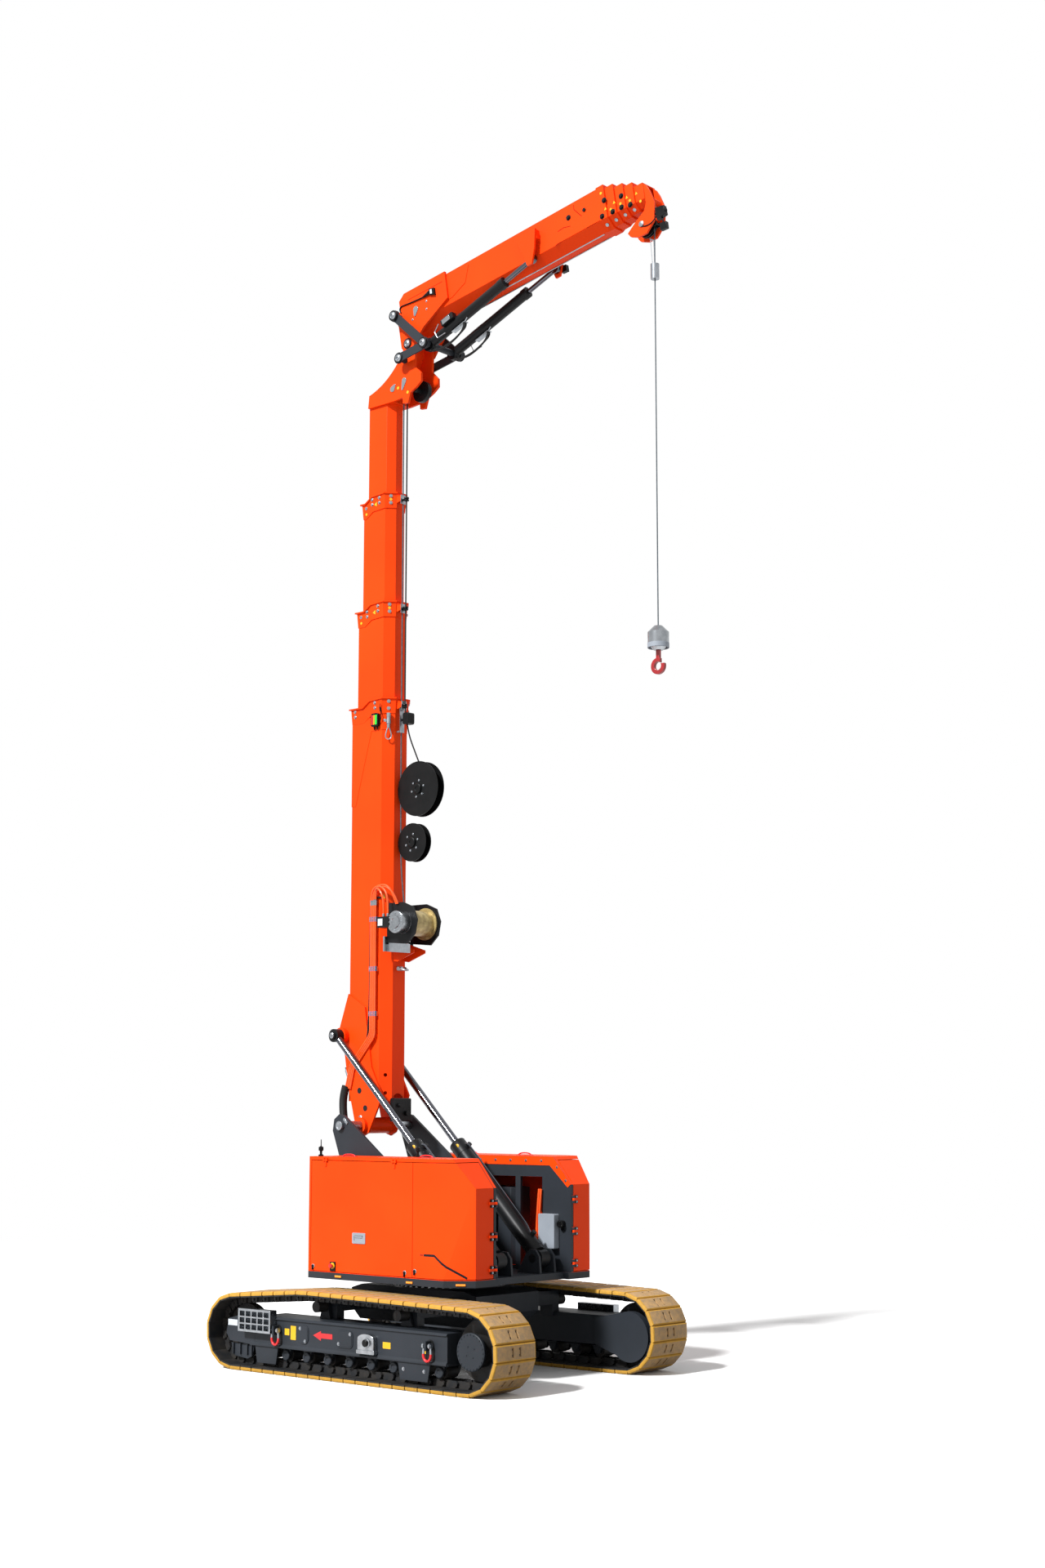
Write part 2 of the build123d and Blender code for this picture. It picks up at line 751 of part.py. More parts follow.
def make_base_sleeve(section):
    """The doubler round the top of the boom's base, below its collar."""
    rear, foot = base_sleeve
    high = section[5] - collar_height
    reach = section[2] + 100
    edge = [
        (section[0] - 50, foot), (rear, foot), (section[1] - rise_front + 10, high - 96), (section[1] + 50, high - 90),
        (section[1] + 50, high + collar_rise + 10), (section[0] - 50, high + 10),
    ]
    with BuildPart() as sleeve:
        slab(grown(section, sleeve_thickness), foot, high + collar_rise)
        slab(grown(section, -boom_wall / 2), foot - 1, high + collar_rise + 1, Mode.SUBTRACT)
        plate(edge, -reach, reach, Mode.INTERSECT)
    return sleeve.part


section_names = list(boom_sections)
for place, name in enumerate(section_names):
    rear, front, half_width, bevel, foot_z, top_z = boom_sections[name]
    shape = boom_outline(rear, front, half_width, bevel)
    with BuildPart() as section:
        with BuildSketch(Plane.XY.offset(foot_z)) as tube:
            with BuildLine():
                Polyline(*shape, close=True)
            make_face()
            offset(amount=-boom_wall, kind=Kind.INTERSECTION, mode=Mode.SUBTRACT)
        last = place + 1 == len(section_names)
        extrude(amount=top_z - foot_z - (seat_gap if last else (collar_height - collar_rise) / 2))
        if not last:
            add(make_collar(boom_sections[name], boom_sections[section_names[place + 1]]))
        if name == "boom_base":
            add(make_base_sleeve(boom_sections[name]))
            # The arch and the holes of the foot's front
            lengthways((0, foot_z), foot_arch_radius, front - 40, front + 40, Mode.SUBTRACT)
            for side in (-1, 1):
                for z in bevel_holes:
                    middle = (front - bevel / 2, side * (half_width - bevel / 2), z)
                    with BuildSketch(Plane(middle, z_dir=(1, side, 0))) as hole:
                        Circle(bevel_hole_radius)
                    extrude(to_extrude=hole.sketch, amount=30, both=True, mode=Mode.SUBTRACT)
            # Foot ears, round the pivot pin
            ear = [
                (-1140, 3640), (-1262, 3300), (-1270, 3190), (-1200, 3130), (-1130, 2720),
                (-1022, 2330), (-985, 2245), (-900, 2214), (-830, 2250), (-700, 2500), (-650, 2620),
                (-800, 2900), (-900, 3500),
            ]
            for low, high in sides(half_width, half_width + 22):
                plate(ear, low, high)
                disc((boom_x, boom_z), 95, low, high)
                disc((rod_eye_x, rod_eye_z), 80, *sorted((math.copysign(1, low) * half_width,
                     math.copysign(1, low) * (luff_y - 48))))
            disc((boom_x, boom_z), 80, -half_width - 60, half_width + 60)
            disc((boom_x, boom_z), boom_pin_radius + seat_gap, -half_width - 60, half_width + 60, Mode.SUBTRACT)
    finish(section, name)

def beside(route, distance):
    """A route moved sideways by a distance, with mitred corners."""
    moved = []
    for place, point in enumerate(route):
        ends = [pair for pair in zip(route, route[1:]) if point in pair]
        normals = []
        for first, last in ends:
            run = math.dist(first, last)
            normals.append(((first[1] - last[1]) / run, (last[0] - first[0]) / run))
        across, up = (sum(values) / len(normals) for values in zip(*normals))
        share = distance / (across ** 2 + up ** 2)
        moved.append((point[0] + across * share, point[1] + up * share))
    return moved


with BuildPart() as boom_hoses:
    for number in range(hose_count):
        route = beside(hose_route, number * hose_pitch)
        with BuildLine(Plane.XZ.offset(-hose_y)) as path:
            FilletPolyline(*route, radius=140)
        with BuildSketch(Plane((route[0][0], hose_y, route[0][1]), z_dir=(0, 0, -1))):
            Circle(hose_radius)
        sweep(path=path.line)
    face = -boom_sections["boom_base"][2] - seat_gap
    last_x = hose_route[0][0] + (hose_count - 1) * hose_pitch
    for z in hose_clamps:
        box(hose_route[0][0] - 18, last_x + 18, hose_y - hose_radius + 2, face, z - 24, z + 24)
finish(boom_hoses, "boom_hoses")

# Winch: side plates and cross rails, with the gearbox on the right
with BuildPart() as winch_frame:
    front_face = boom_sections["boom_base"][1]
    cheek = [
        (front_face + seat_gap, winch_z - 190), (winch_x + 60, winch_z - 215),
        (winch_x + 165, winch_z - 120), (winch_x + 195, winch_z + 20),
        (winch_x + 140, winch_z + 150), (winch_x, winch_z + 205), (front_face + seat_gap, winch_z + 205),
    ]
    for low, high in sides(drum_half_length + 8, drum_half_length + 26):
        plate(cheek, low, high)
    for x, z in ((front_face + seat_gap + 14, winch_z - 190), (front_face + seat_gap + 14, winch_z + 185)):
        box(x - 14, x + 14, -drum_half_length - 26, drum_half_length + 26, z - 20, z + 20)
    disc((winch_x, winch_z), 112, -drum_half_length - 132, -drum_half_length - 26)
    box(winch_x - 240, winch_x - 80, -drum_half_length - 150, -drum_half_length - 40, winch_z - 50, winch_z + 60)
finish(winch_frame, "winch_frame")

with BuildPart() as winch_drum:
    disc((winch_x, winch_z), drum_radius, -drum_half_length, drum_half_length)
    for low, high in sides(drum_half_length - 14, drum_half_length):
        disc((winch_x, winch_z), drum_radius + 34, low, high)
    disc((winch_x, winch_z), 40, -drum_half_length - 8 + seat_gap, drum_half_length + 8 - seat_gap)
finish(winch_drum, "winch_drum")

# Cable reels on brackets from the boom's front
for name, (x, z, radius, width) in reels.items():
    with BuildPart() as reel:
        disc((x, z), reel_hub_radius + 60, -width / 2, width / 2)
        for low, high in ((-width / 2, -width / 2 + 6), (width / 2 - 6, width / 2)):
            disc((x, z), radius, low, high)
        disc((x, z), reel_pin_radius, -width / 2, width / 2 + 24)
    finish(reel, name)

with BuildPart() as reel_brackets:
    root = boom_sections["boom_base"][1] + seat_gap
    for x, z, radius, width in reels.values():
        span = [(root, z - 90), (root, z + 90), (x + 40, z + 45), (x + 40, z - 45)]
        plate(span, width / 2 + 6, width / 2 + 32)
        disc((x, z), reel_pin_radius + seat_gap, width / 2 + 6, width / 2 + 32, Mode.SUBTRACT)
finish(reel_brackets, "reel_brackets")

# Boom head: two plates joined by a web, with the sheave below the knuckle
head_rear = boom_sections["boom_section_4"][0]
head_step = boom_sections["boom_section_4"][1] + 32
head_base = boom_sections["boom_section_4"][5]


def from_fold(across, up):
    return (fold_pin[0] + across, fold_pin[1] + up)


def from_sheave(across, up):
    return (head_sheave[0] + across, head_sheave[1] + up)


with BuildPart() as boom_head:
    with BuildSketch(Plane.XZ.offset(-head_plate_outer)) as face:
        with BuildLine():
            Polyline((head_step, head_base), (head_rear, head_base), (head_rear + 16, head_base + 136))
            ThreePointArc((head_rear + 16, head_base + 136), from_fold(-299, -274), from_fold(-109, -59))
            Line(from_fold(-109, -59), from_fold(-79, 41))
            ThreePointArc(from_fold(-79, 41), from_fold(0, 88), from_fold(79, 39))
            Polyline(
                from_fold(79, 39), from_fold(69, -249), from_fold(159, -339), from_fold(162, -428),
                from_sheave(45, 10), from_sheave(-37, -28), from_sheave(-71, -135), from_sheave(-143, -128),
                from_sheave(-147, -63), (head_step, head_base),
            )
        make_face()
    extrude(to_extrude=face.sketch, amount=2 * head_plate_outer)
    pocket = [
        (head_step + 4, head_base - 96), (head_step + 4, head_base + 164), from_fold(-169, -279),
        from_fold(-49, -69), from_fold(-29, 141), from_fold(191, 141), from_fold(191, -659),
    ]
    plate(pocket, -head_plate_inner, head_plate_inner, Mode.SUBTRACT)
    pin_reach = head_plate_outer + 1
    disc(fold_pin, fold_pin_radius + seat_gap, -pin_reach, pin_reach, Mode.SUBTRACT)
finish(boom_head, "boom_head")

with BuildPart() as head_sheave_wheel:
    disc(head_sheave, head_sheave_radius, -24, 24)
    disc(head_sheave, 26, -head_plate_inner + seat_gap, head_plate_inner - seat_gap)
finish(head_sheave_wheel, "head_sheave")


# Jib: five nested sections in the tilted frame
def jib_plane(u):
    x, z = jib_point(u, 0)
    turn = math.radians(jib_tilt)
    return Plane((x, 0, z), x_dir=(-math.sin(turn), 0, math.cos(turn)), z_dir=(math.cos(turn), 0, math.sin(turn)))


def jib_section_outline(number, grow):
    """The cross section of one jib section, grown by a margin on every side."""
    shrink = number * jib_shrink
    half = jib_half_width - shrink + grow
    top = jib_top - number * jib_top_step + grow
    side_foot, bottom = jib_side_foot + shrink * 0.4 - grow * 0.4, jib_bottom + shrink - grow
    bevel = half - (side_foot - bottom)
    return [(top, -half), (side_foot, -half), (bottom, -bevel), (bottom, bevel), (side_foot, half), (top, half)]


def jib_tube(start, end, outside, inside):
    """A stretch of jib between two outlines."""
    with BuildSketch(jib_plane(start)) as ring:
        with BuildLine():
            Polyline(*outside, close=True)
        make_face()
        with BuildSketch(jib_plane(start), mode=Mode.SUBTRACT):
            with BuildLine():
                Polyline(*inside, close=True)
            make_face()
    extrude(to_extrude=ring.sketch, amount=end - start)


for number in range(5):
    start = jib_rear + number * 40
    end = jib_front + number * jib_step
    next_section = jib_section_outline(number + 1, slide_gap)
    with BuildPart() as section:
        jib_tube(start, end, jib_section_outline(number, 0), jib_section_outline(number, slide_gap - jib_shrink))
        if number < 4:
            jib_tube(end - jib_ring_length, end, jib_section_outline(number, jib_ring_lip), next_section)
        if number == 0:
            # Doublers: round the knuckle at the rear and ahead of the cylinders' hangers
            rear = jib_outline((jib_rear, 500), (930, 500), (860, 330), (660, 250), (jib_rear, 250))
            front = jib_outline(
                (2090, 200), (2280, 225), (2369, 315), (2454, 330), (2454, 500), (2560, 500), (jib_front, 500),
                (jib_front, 200)
            )
            for low, high in sides(jib_half_width, jib_half_width + jib_doubler):
                plate(rear, low, high)
                plate(front, low, high)
            cheek = jib_outline(
                (-50, 500), (30, 560), (620, 555), (620, 260), (245, 90), (92, -40), (40, -92), (-45, -88),
                (-92, -20), (-96, 230), (-120, 290), (-112, 350), (-50, 385)
            )
            for low, high in sides(jib_half_width, cheek_outer):
                plate(cheek, low, high)
            for low, high in sides(head_plate_inner, cheek_outer + 12):
                disc(fold_pin, fold_pin_radius, low, high)
            hanger = jib_outline((1640, 440), (1900, 440), (1860, 250), (1800, 95), (1740, 95), (1700, 250))
            arm = jib_outline((1650, 345), (1650, 440), (1890, 440), (1890, 345))
            for low, high in sides(204, 228):
                plate(hanger, low, high)
            for low, high in sides(jib_half_width, 204):
                plate(arm, low, high)
    finish(section, "jib_base" if number == 0 else f"jib_section_{number + 1}")

with BuildPart() as jib_head:
    head = jib_outline(
        (head_foot, 372), (head_foot + 30, 340), (head_foot + 60, 272), (head_foot + 98, 130),
        (head_foot + 64, -42), (head_foot - 46, -134), (head_foot - 148, -132), (head_foot - 235, -88),
        (head_foot - 262, -42), (head_foot - 165, 24), (head_foot - 32, 100), (head_foot, 168)
    )
    for low, high in sides(tip_plate_inner, tip_plate_outer):
        plate(head, low, high)
    disc(jib_point(head_foot + 45, 180), 30, -tip_plate_inner, tip_plate_inner)
finish(jib_head, "jib_head")

tip_pin = jib_point(tip_pin_u, tip_pin_v)
with BuildPart() as tip_sheave:
    disc(tip_pin, tip_groove_radius, -18, 18)
    for low, high in sides(10, 18):
        disc(tip_pin, tip_sheave_radius, low, high)
    disc(tip_pin, tip_axle_radius, -tip_plate_inner + seat_gap, tip_plate_inner - seat_gap)
finish(tip_sheave, "tip_sheave")

# Knuckle links, outside the jib's cheeks. The lower link hooks over the common pin from above
links = {
    "link_upper": (upper_pin, link_inner, link_outer),
    "link_lower": (lower_pin, lower_link_inner, lower_link_outer),
}
for name, (start, near, far) in links.items():
    heading = math.atan2(common_pin[1] - start[1], common_pin[0] - start[0]) + math.pi / 2
    dx, dz = 46 * math.cos(heading), 46 * math.sin(heading)
    bar = [
        (start[0] + dx, start[1] + dz), (common_pin[0] + dx, common_pin[1] + dz),
        (common_pin[0] - dx, common_pin[1] - dz), (start[0] - dx, start[1] - dz),
    ]
    with BuildPart() as link:
        for low, high in sides(near, far):
            plate(bar, low, high)
            for centre in (start, common_pin):
                disc(centre, link_end_radius, low, high)
        if name == "link_upper":
            disc(common_pin, link_pin_radius, -far - 14, far + 14)
            for low, high in sides(cheek_outer + seat_gap, far + 14):
                disc(start, link_pin_radius, low, high)
        else:
            for low, high in sides(head_plate_outer + seat_gap, far):
                disc(start, link_pin_radius, low, high)
            x, z = common_pin
            slot = [(x - open_slot, z), (x + open_slot, z), (x + open_slot, z - 120), (x - open_slot, z - 120)]
            plate(slot, -far, far, Mode.SUBTRACT)
            disc(common_pin, open_slot, -far, far, Mode.SUBTRACT)
    finish(link, name)

jib_lug = jib_point(jib_lug_u, jib_lug_v)
jib_reach = math.dist(common_pin, jib_lug)
with BuildPart() as jib_barrels:
    for middle in (-jib_cylinder_y, jib_cylinder_y):
        start, end = along(common_pin, jib_lug, 62), along(common_pin, jib_lug, jib_barrel_length)
        rod(start, end, jib_barrel_radius, middle)
        rod(start, end, jib_rod_radius + slide_gap, middle, Mode.SUBTRACT)
        disc(common_pin, 70, middle - 26, middle + 26)
        disc(common_pin, link_pin_radius + seat_gap, middle - 26, middle + 26, Mode.SUBTRACT)
finish(jib_barrels, "jib_barrels")

with BuildPart() as jib_rods:
    for middle in (-jib_cylinder_y, jib_cylinder_y):
        rod(along(common_pin, jib_lug, jib_reach - 1000), along(common_pin, jib_lug, jib_reach - 20), jib_rod_radius, middle)
        disc(jib_lug, 46, middle - 20, middle + 20)
finish(jib_rods, "jib_rods")

# Load line, its guide at the tip sheave, and the hook
rope_x = tip_pin[0] + tip_groove_radius + rope_radius + seat_gap
with BuildPart() as rope_guide:
    x, z = tip_pin
    arm = [(x, z + 36), (rope_x + 46, z + 14), (rope_x + 46, z - 26), (x, z - 36)]
    for low, high in sides(26, 36):
        plate(arm, low, high)
        disc(tip_pin, 40, low, high)
        disc(tip_pin, tip_axle_radius + seat_gap, low, high, Mode.SUBTRACT)
    disc((rope_x + 34, z - 6), 9, -36, 36)
finish(rope_guide, "rope_guide")

with BuildPart() as limit_weight:
    with BuildSketch(Plane.XY.offset(10300)):
        with Locations((rope_x, 0)):
            Circle(42)
            Circle(rope_radius + seat_gap, mode=Mode.SUBTRACT)
    extrude(amount=150)
finish(limit_weight, "limit_weight")

with BuildPart() as load_line:
    with BuildSketch(Plane.XY.offset(block_top)):
        with Locations((rope_x, 0)):
            Circle(rope_radius)
    extrude(amount=tip_pin[1] - block_top)
finish(load_line, "load_line")

with BuildPart() as hook_block:
    with BuildSketch(Plane.XZ):
        with BuildLine():
            Polyline(
                (rope_x, block_top), (rope_x + 40, block_top), (rope_x + block_radius, block_top - 60),
                (rope_x + block_radius, block_bottom + 60), (rope_x + 45, block_bottom), (rope_x, block_bottom), close=True
            )
        make_face()
    revolve(axis=Axis((rope_x, 0, 0), (0, 0, 1)))
finish(hook_block, "hook_block")

with BuildPart() as hook:
    with BuildSketch(Plane.XZ.offset(-17)) as face:
        with Locations((rope_x, block_bottom - 150)):
            Circle(78)
            Circle(40, mode=Mode.SUBTRACT)
            with Locations((62, 52)):
                Rectangle(70, 62, mode=Mode.SUBTRACT)
        with Locations((rope_x, block_bottom - seat_gap - 43)):
            Rectangle(36, 86)
    extrude(to_extrude=face.sketch, amount=34)
finish(hook, "hook")
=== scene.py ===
import math

import bmesh
import bpy
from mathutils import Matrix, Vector


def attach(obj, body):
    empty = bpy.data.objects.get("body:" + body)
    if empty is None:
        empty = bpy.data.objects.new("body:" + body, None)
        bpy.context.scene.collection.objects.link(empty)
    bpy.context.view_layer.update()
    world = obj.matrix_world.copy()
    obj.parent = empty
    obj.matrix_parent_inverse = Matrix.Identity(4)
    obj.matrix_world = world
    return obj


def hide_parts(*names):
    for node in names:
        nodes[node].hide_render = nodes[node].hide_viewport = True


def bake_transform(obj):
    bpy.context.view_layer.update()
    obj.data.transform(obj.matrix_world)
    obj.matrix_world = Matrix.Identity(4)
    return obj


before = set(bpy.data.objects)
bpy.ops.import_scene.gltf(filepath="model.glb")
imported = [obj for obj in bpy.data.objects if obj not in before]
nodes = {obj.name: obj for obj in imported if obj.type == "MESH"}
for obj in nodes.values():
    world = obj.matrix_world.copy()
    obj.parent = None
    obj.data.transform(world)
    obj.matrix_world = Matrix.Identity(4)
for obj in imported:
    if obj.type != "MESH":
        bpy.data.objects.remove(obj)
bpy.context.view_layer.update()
# The two sides, each with the sign of its y
hands = {"right": -1, "left": 1}


# Small helpers

def hexColor(code):
    # sRGB hex to the linear colour that the shaders read.
    parts = [int(code[place:place + 2], 16) / 255 for place in (1, 3, 5)]
    linear = [c / 12.92 if c <= 0.04045 else ((c + 0.055) / 1.055) ** 2.4 for c in parts]
    return (*linear, 1.0)


def feed(tree, node, inputs):
    # Sets a node's inputs: a socket is linked, any other value is written in.
    for key, value in inputs.items():
        if isinstance(value, bpy.types.NodeSocket):
            tree.links.new(value, node.inputs[key])
        else:
            node.inputs[key].default_value = value


def addNode(tree, kind, inputs=None, **settings):
    node = tree.nodes.new(kind)
    for key, value in settings.items():
        setattr(node, key, value)
    feed(tree, node, inputs or {})
    return node


def addRange(tree, value, low, high, start=0.0, end=1.0, **settings):
    limits = {"Value": value, "From Min": low, "From Max": high, "To Min": start, "To Max": end}
    return addNode(tree, "ShaderNodeMapRange", limits, **settings).outputs["Result"]


def addMix(tree, factor, first, second):
    # Mixes two colours, each a socket or an sRGB hex code.
    colors = [hexColor(color) if isinstance(color, str) else color for color in (first, second)]
    inputs = {"Factor": factor, "A": colors[0], "B": colors[1]}
    return addNode(tree, "ShaderNodeMix", inputs, data_type="RGBA").outputs["Result"]


def addNoise(tree, place, scale, detail, **inputs):
    inputs = {"Vector": place, "Scale": scale, "Detail": detail, **inputs}
    return addNode(tree, "ShaderNodeTexNoise", inputs).outputs["Fac"]


def newMaterial(name):
    material = bpy.data.materials.new(name)
    material.use_nodes = True
    tree = material.node_tree
    return material, tree, tree.nodes["Principled BSDF"], addNode(tree, "ShaderNodeTexCoord").outputs["Object"]


# Materials: one maker for the grained solid finishes, its values say what each one is
def makeFinish(name, base, second, grain, mottle, rough, roughSpread, metal, coat, bump, gloss=0.5):
    # base and second are mixed by a slow noise of size mottle; a fine noise of size grain gives the bump.
    material, tree, shader, place = newMaterial(name)
    slow = addNoise(tree, place, 1 / mottle, 4.0)
    fine = addNoise(tree, place, 1 / grain, 2.0)
    raised = addNode(tree, "ShaderNodeBump", {"Height": fine, "Strength": bump, "Distance": grain * 0.5})
    feed(tree, shader, {
        "Base Color": addMix(tree, addRange(tree, slow, 0.35, 0.65), base, second),
        "Roughness": addRange(tree, slow, 0.3, 0.7, rough - roughSpread, rough + roughSpread),
        "Metallic": metal, "Coat Weight": coat, "Specular IOR Level": gloss, "Normal": raised.outputs["Normal"]})
    return material


looks = {
    # finish: name, base, second, grain, mottle, rough, roughSpread, metal, coat, bump and, if not 0.5, gloss
    # Powder-coated steel: a slightly pebbled satin gloss, a little paler where the sun has been at it
    "orangePaint": ("powder coat orange", "#F6440A", "#F13F07", 0.0022, 0.9, 0.42, 0.05, 0, 0, 0.05, 0.1),
    "greyPaint": ("powder coat graphite", "#292D33", "#24282D", 0.003, 0.4, 0.5, 0.07, 0, 0, 0.1, 0.2),
    "blackPaint": ("black enamel", "#0E0F11", "#131416", 0.003, 0.3, 0.42, 0.08, 0, 0, 0.08, 0.18),
    # Ground and hard-chromed bar: a hard mirror
    "chrome": ("hard chrome bar", "#63656C", "#595B62", 0.0006, 0.2, 0.1, 0.03, 1, 0, 0.02),
    # Plated and machined metal: bright, with dull patches from handling
    "zinc": ("zinc plated steel", "#A2A6AB", "#8C9196", 0.002, 0.05, 0.34, 0.08, 1, 0, 0.12),
    "castAlloy": ("machined aluminium", "#A0A4A8", "#8A8E92", 0.0015, 0.06, 0.28, 0.08, 1, 0, 0.08),
    # Bare rolled steel: dark, rough and a little brown with rust
    "trackSteel": ("rolled track steel", "#1B1D20", "#2B2825", 0.004, 0.12, 0.62, 0.12, 0, 0, 0.35, 0.25),
    "blackRubber": ("black rubber", "#0C0D0E", "#121213", 0.0015, 0.08, 0.55, 0.08, 0, 0, 0.15, 0.25),
    "orangeHose": ("orange cable sheath", "#F2560F", "#E84F0C", 0.0015, 0.2, 0.38, 0.05, 0, 0.1, 0.08),
    "blackPlastic": ("moulded black plastic", "#08090A", "#0C0D0E", 0.0012, 0.1, 0.36, 0.06, 0, 0, 0.05, 0.16),
    "greyPlastic": ("moulded grey plastic", "#8E959E", "#868D96", 0.0015, 0.2, 0.5, 0.05, 0, 0, 0.08),
    "clampPlastic": ("blue grey clamp plastic", "#4C5F80", "#425474", 0.002, 0.05, 0.5, 0.05, 0, 0, 0.1),
    # Enamel on small parts: deep and glossy under a clear coat
    "redPaint": ("red enamel", "#D3131A", "#C40F16", 0.002, 0.1, 0.35, 0.05, 0, 0.2, 0.05),
    "hookPaint": ("dark red enamel", "#A00E16", "#860A12", 0.002, 0.05, 0.35, 0.06, 0, 0.2, 0.06),
    # Sealed seams and grooves: painted shade, the same orange darkened for the shade that lies in them
    "seamShade": ("orange paint with painted seam shade", "#A21A04", "#901604", 0.002, 0.1, 0.6, 0.05, 0, 0, 0.05, 0.05),
    # Printed film: flat colour with an even, soft sheen
    "yellowSign": ("yellow vinyl", "#E0AE14", "#DAA611", 0.002, 0.1, 0.4, 0.05, 0, 0, 0.04),
    "whiteSign": ("white vinyl", "#C4C9CF", "#BAC0C7", 0.002, 0.1, 0.4, 0.05, 0, 0, 0.04),
    # Lamp lenses: saturated and wet-looking
    "amberLens": ("amber lens", "#FF9A0A", "#FF8C00", 0.002, 0.05, 0.2, 0.03, 0, 0.5, 0.03),
    "greenLens": ("green lens", "#2BE03A", "#22D030", 0.002, 0.05, 0.2, 0.03, 0, 0.5, 0.03),
    # Wire rope: fine, streaky and only half metallic; the drum's is brown with grease
    "steelRope": ("galvanised wire rope", "#5A6268", "#485056", 0.002, 0.03, 0.5, 0.08, 0.4, 0, 0.3, 0.25),
    "greasedRope": ("greased wire rope", "#B7A46E", "#8E7C50", 0.002, 0.05, 0.4, 0.08, 0.35, 0.1, 0.3),
}
finishes = {key: makeFinish(*values) for key, values in looks.items()}


# Polyurethane pad: tan where it has been driven on, still ochre at its sides, with painted shade in its bolt holes
padLook = {"tread": ("#AE8A5A", "#8C7558"), "flank": ("#BE8E2A", "#A9802F"), "hole": "#17130F",
           "rough": 0.72, "dirtScale": 22.0, "gritScale": 260.0}


def makePadFinish():
    # The mesh's own value "zone" is 0 on the flanks, 1 on the tread and 2 in the holes.
    material, tree, shader, place = newMaterial("cast polyurethane pad")
    zone = addNode(tree, "ShaderNodeAttribute", attribute_name="zone").outputs["Fac"]
    dusty = addRange(tree, addNoise(tree, place, padLook["dirtScale"], 6.0, Roughness=0.7), 0.38, 0.66)
    grit = addNoise(tree, place, padLook["gritScale"], 3.0)
    flank, tread = addMix(tree, dusty, *padLook["flank"]), addMix(tree, dusty, *padLook["tread"])
    outside = addMix(tree, addRange(tree, zone, 0.2, 0.8), flank, tread)
    bumps = addNode(tree, "ShaderNodeBump", {"Height": grit, "Strength": 0.35, "Distance": 0.002})
    # Zone 2, the small discs in the holes, gets a near-black painted shade
    feed(tree, shader, {
        "Base Color": addMix(tree, addRange(tree, zone, 1.4, 1.8), outside, padLook["hole"]),
        "Roughness": padLook["rough"], "Normal": bumps.outputs["Normal"]})
    return material


finishes["pad"] = makePadFinish()
print("materials ready")


# Mesh building: every piece is drawn in place, in metres

def joinRings(bm, rings):
    # Faces between closed rings that have as many points each; returns them.
    faces = []
    for first, second in zip(rings, rings[1:]):
        for step in range(len(first)):
            after = (step + 1) % len(first)
            faces.append(bm.faces.new((first[step], first[after], second[after], second[step])))
    return faces


def addBox(bm, low, high):
    corners = [bm.verts.new((x, y, z))
               for x in (low[0], high[0]) for y in (low[1], high[1]) for z in (low[2], high[2])]
    for order in ((0, 1, 3, 2), (4, 6, 7, 5), (0, 4, 5, 1), (2, 3, 7, 6), (0, 2, 6, 4), (1, 5, 7, 3)):
        bm.faces.new([corners[place] for place in order])


def addTurned(bm, centre, axis, profile, sides=24):
    # A turned piece: profile is (radius, height) along axis; a radius of 0 closes the end.
    turn = Vector(axis).normalized().to_track_quat("Z", "Y")
    rings = []
    for radius, height in profile:
        angles = [2 * math.pi * step / sides for step in range(sides)] if radius else [0]
        rings.append([
            bm.verts.new(Vector(centre) + turn @ Vector((radius * math.cos(angle), radius * math.sin(angle), height)))
            for angle in angles])
    for first, second in zip(rings, rings[1:]):
        for step in range(sides):
            ring = [first[step % len(first)], first[(step + 1) % len(first)],
                    second[(step + 1) % len(second)], second[step % len(second)]]
            corners = list(dict.fromkeys(ring))
            if len(corners) > 2:
                bm.faces.new(corners)
    # A profile that ends where it began is a closed ring and has no end faces
    for ring in (rings[0], rings[-1]):
        if len(ring) > 1 and profile[0] != profile[-1]:
            bm.faces.new(ring)


def addDisc(bm, centre, axis, radius, height, sides=24):
    addTurned(bm, centre, axis, [(radius, 0), (radius, height), (0, height)], sides)


def addBar(bm, start, end, radius, sides=20, endRadius=None):
    start, end = Vector(start), Vector(end)
    profile = [(radius, 0), (radius if endRadius is None else endRadius, (end - start).length)]
    addTurned(bm, start, end - start, profile, sides)


def addPlate(bm, outline, low, high, axis="Y"):
    # A flat plate: the outline's two coordinates lie across axis, in X, Y, Z order.
    place = "XYZ".index(axis)
    ends = []
    for level in (low, high):
        corners = [[first, second] for first, second in outline]
        for corner in corners:
            corner.insert(place, level)
        ends.append([bm.verts.new(corner) for corner in corners])
    for row in ends:
        bm.faces.new(row)
    joinRings(bm, ends)


def roundedOutline(low, high, radius, steps=4):
    # The corners of a rounded rectangle, from two opposite corners.
    outline = []
    for number, (x, z) in enumerate(((high[0] - radius, high[1] - radius), (low[0] + radius, high[1] - radius),
                                     (low[0] + radius, low[1] + radius), (high[0] - radius, low[1] + radius))):
        for step in range(steps + 1):
            angle = math.pi / 2 * (number + step / steps)
            outline.append((x + radius * math.cos(angle), z + radius * math.sin(angle)))
    return outline


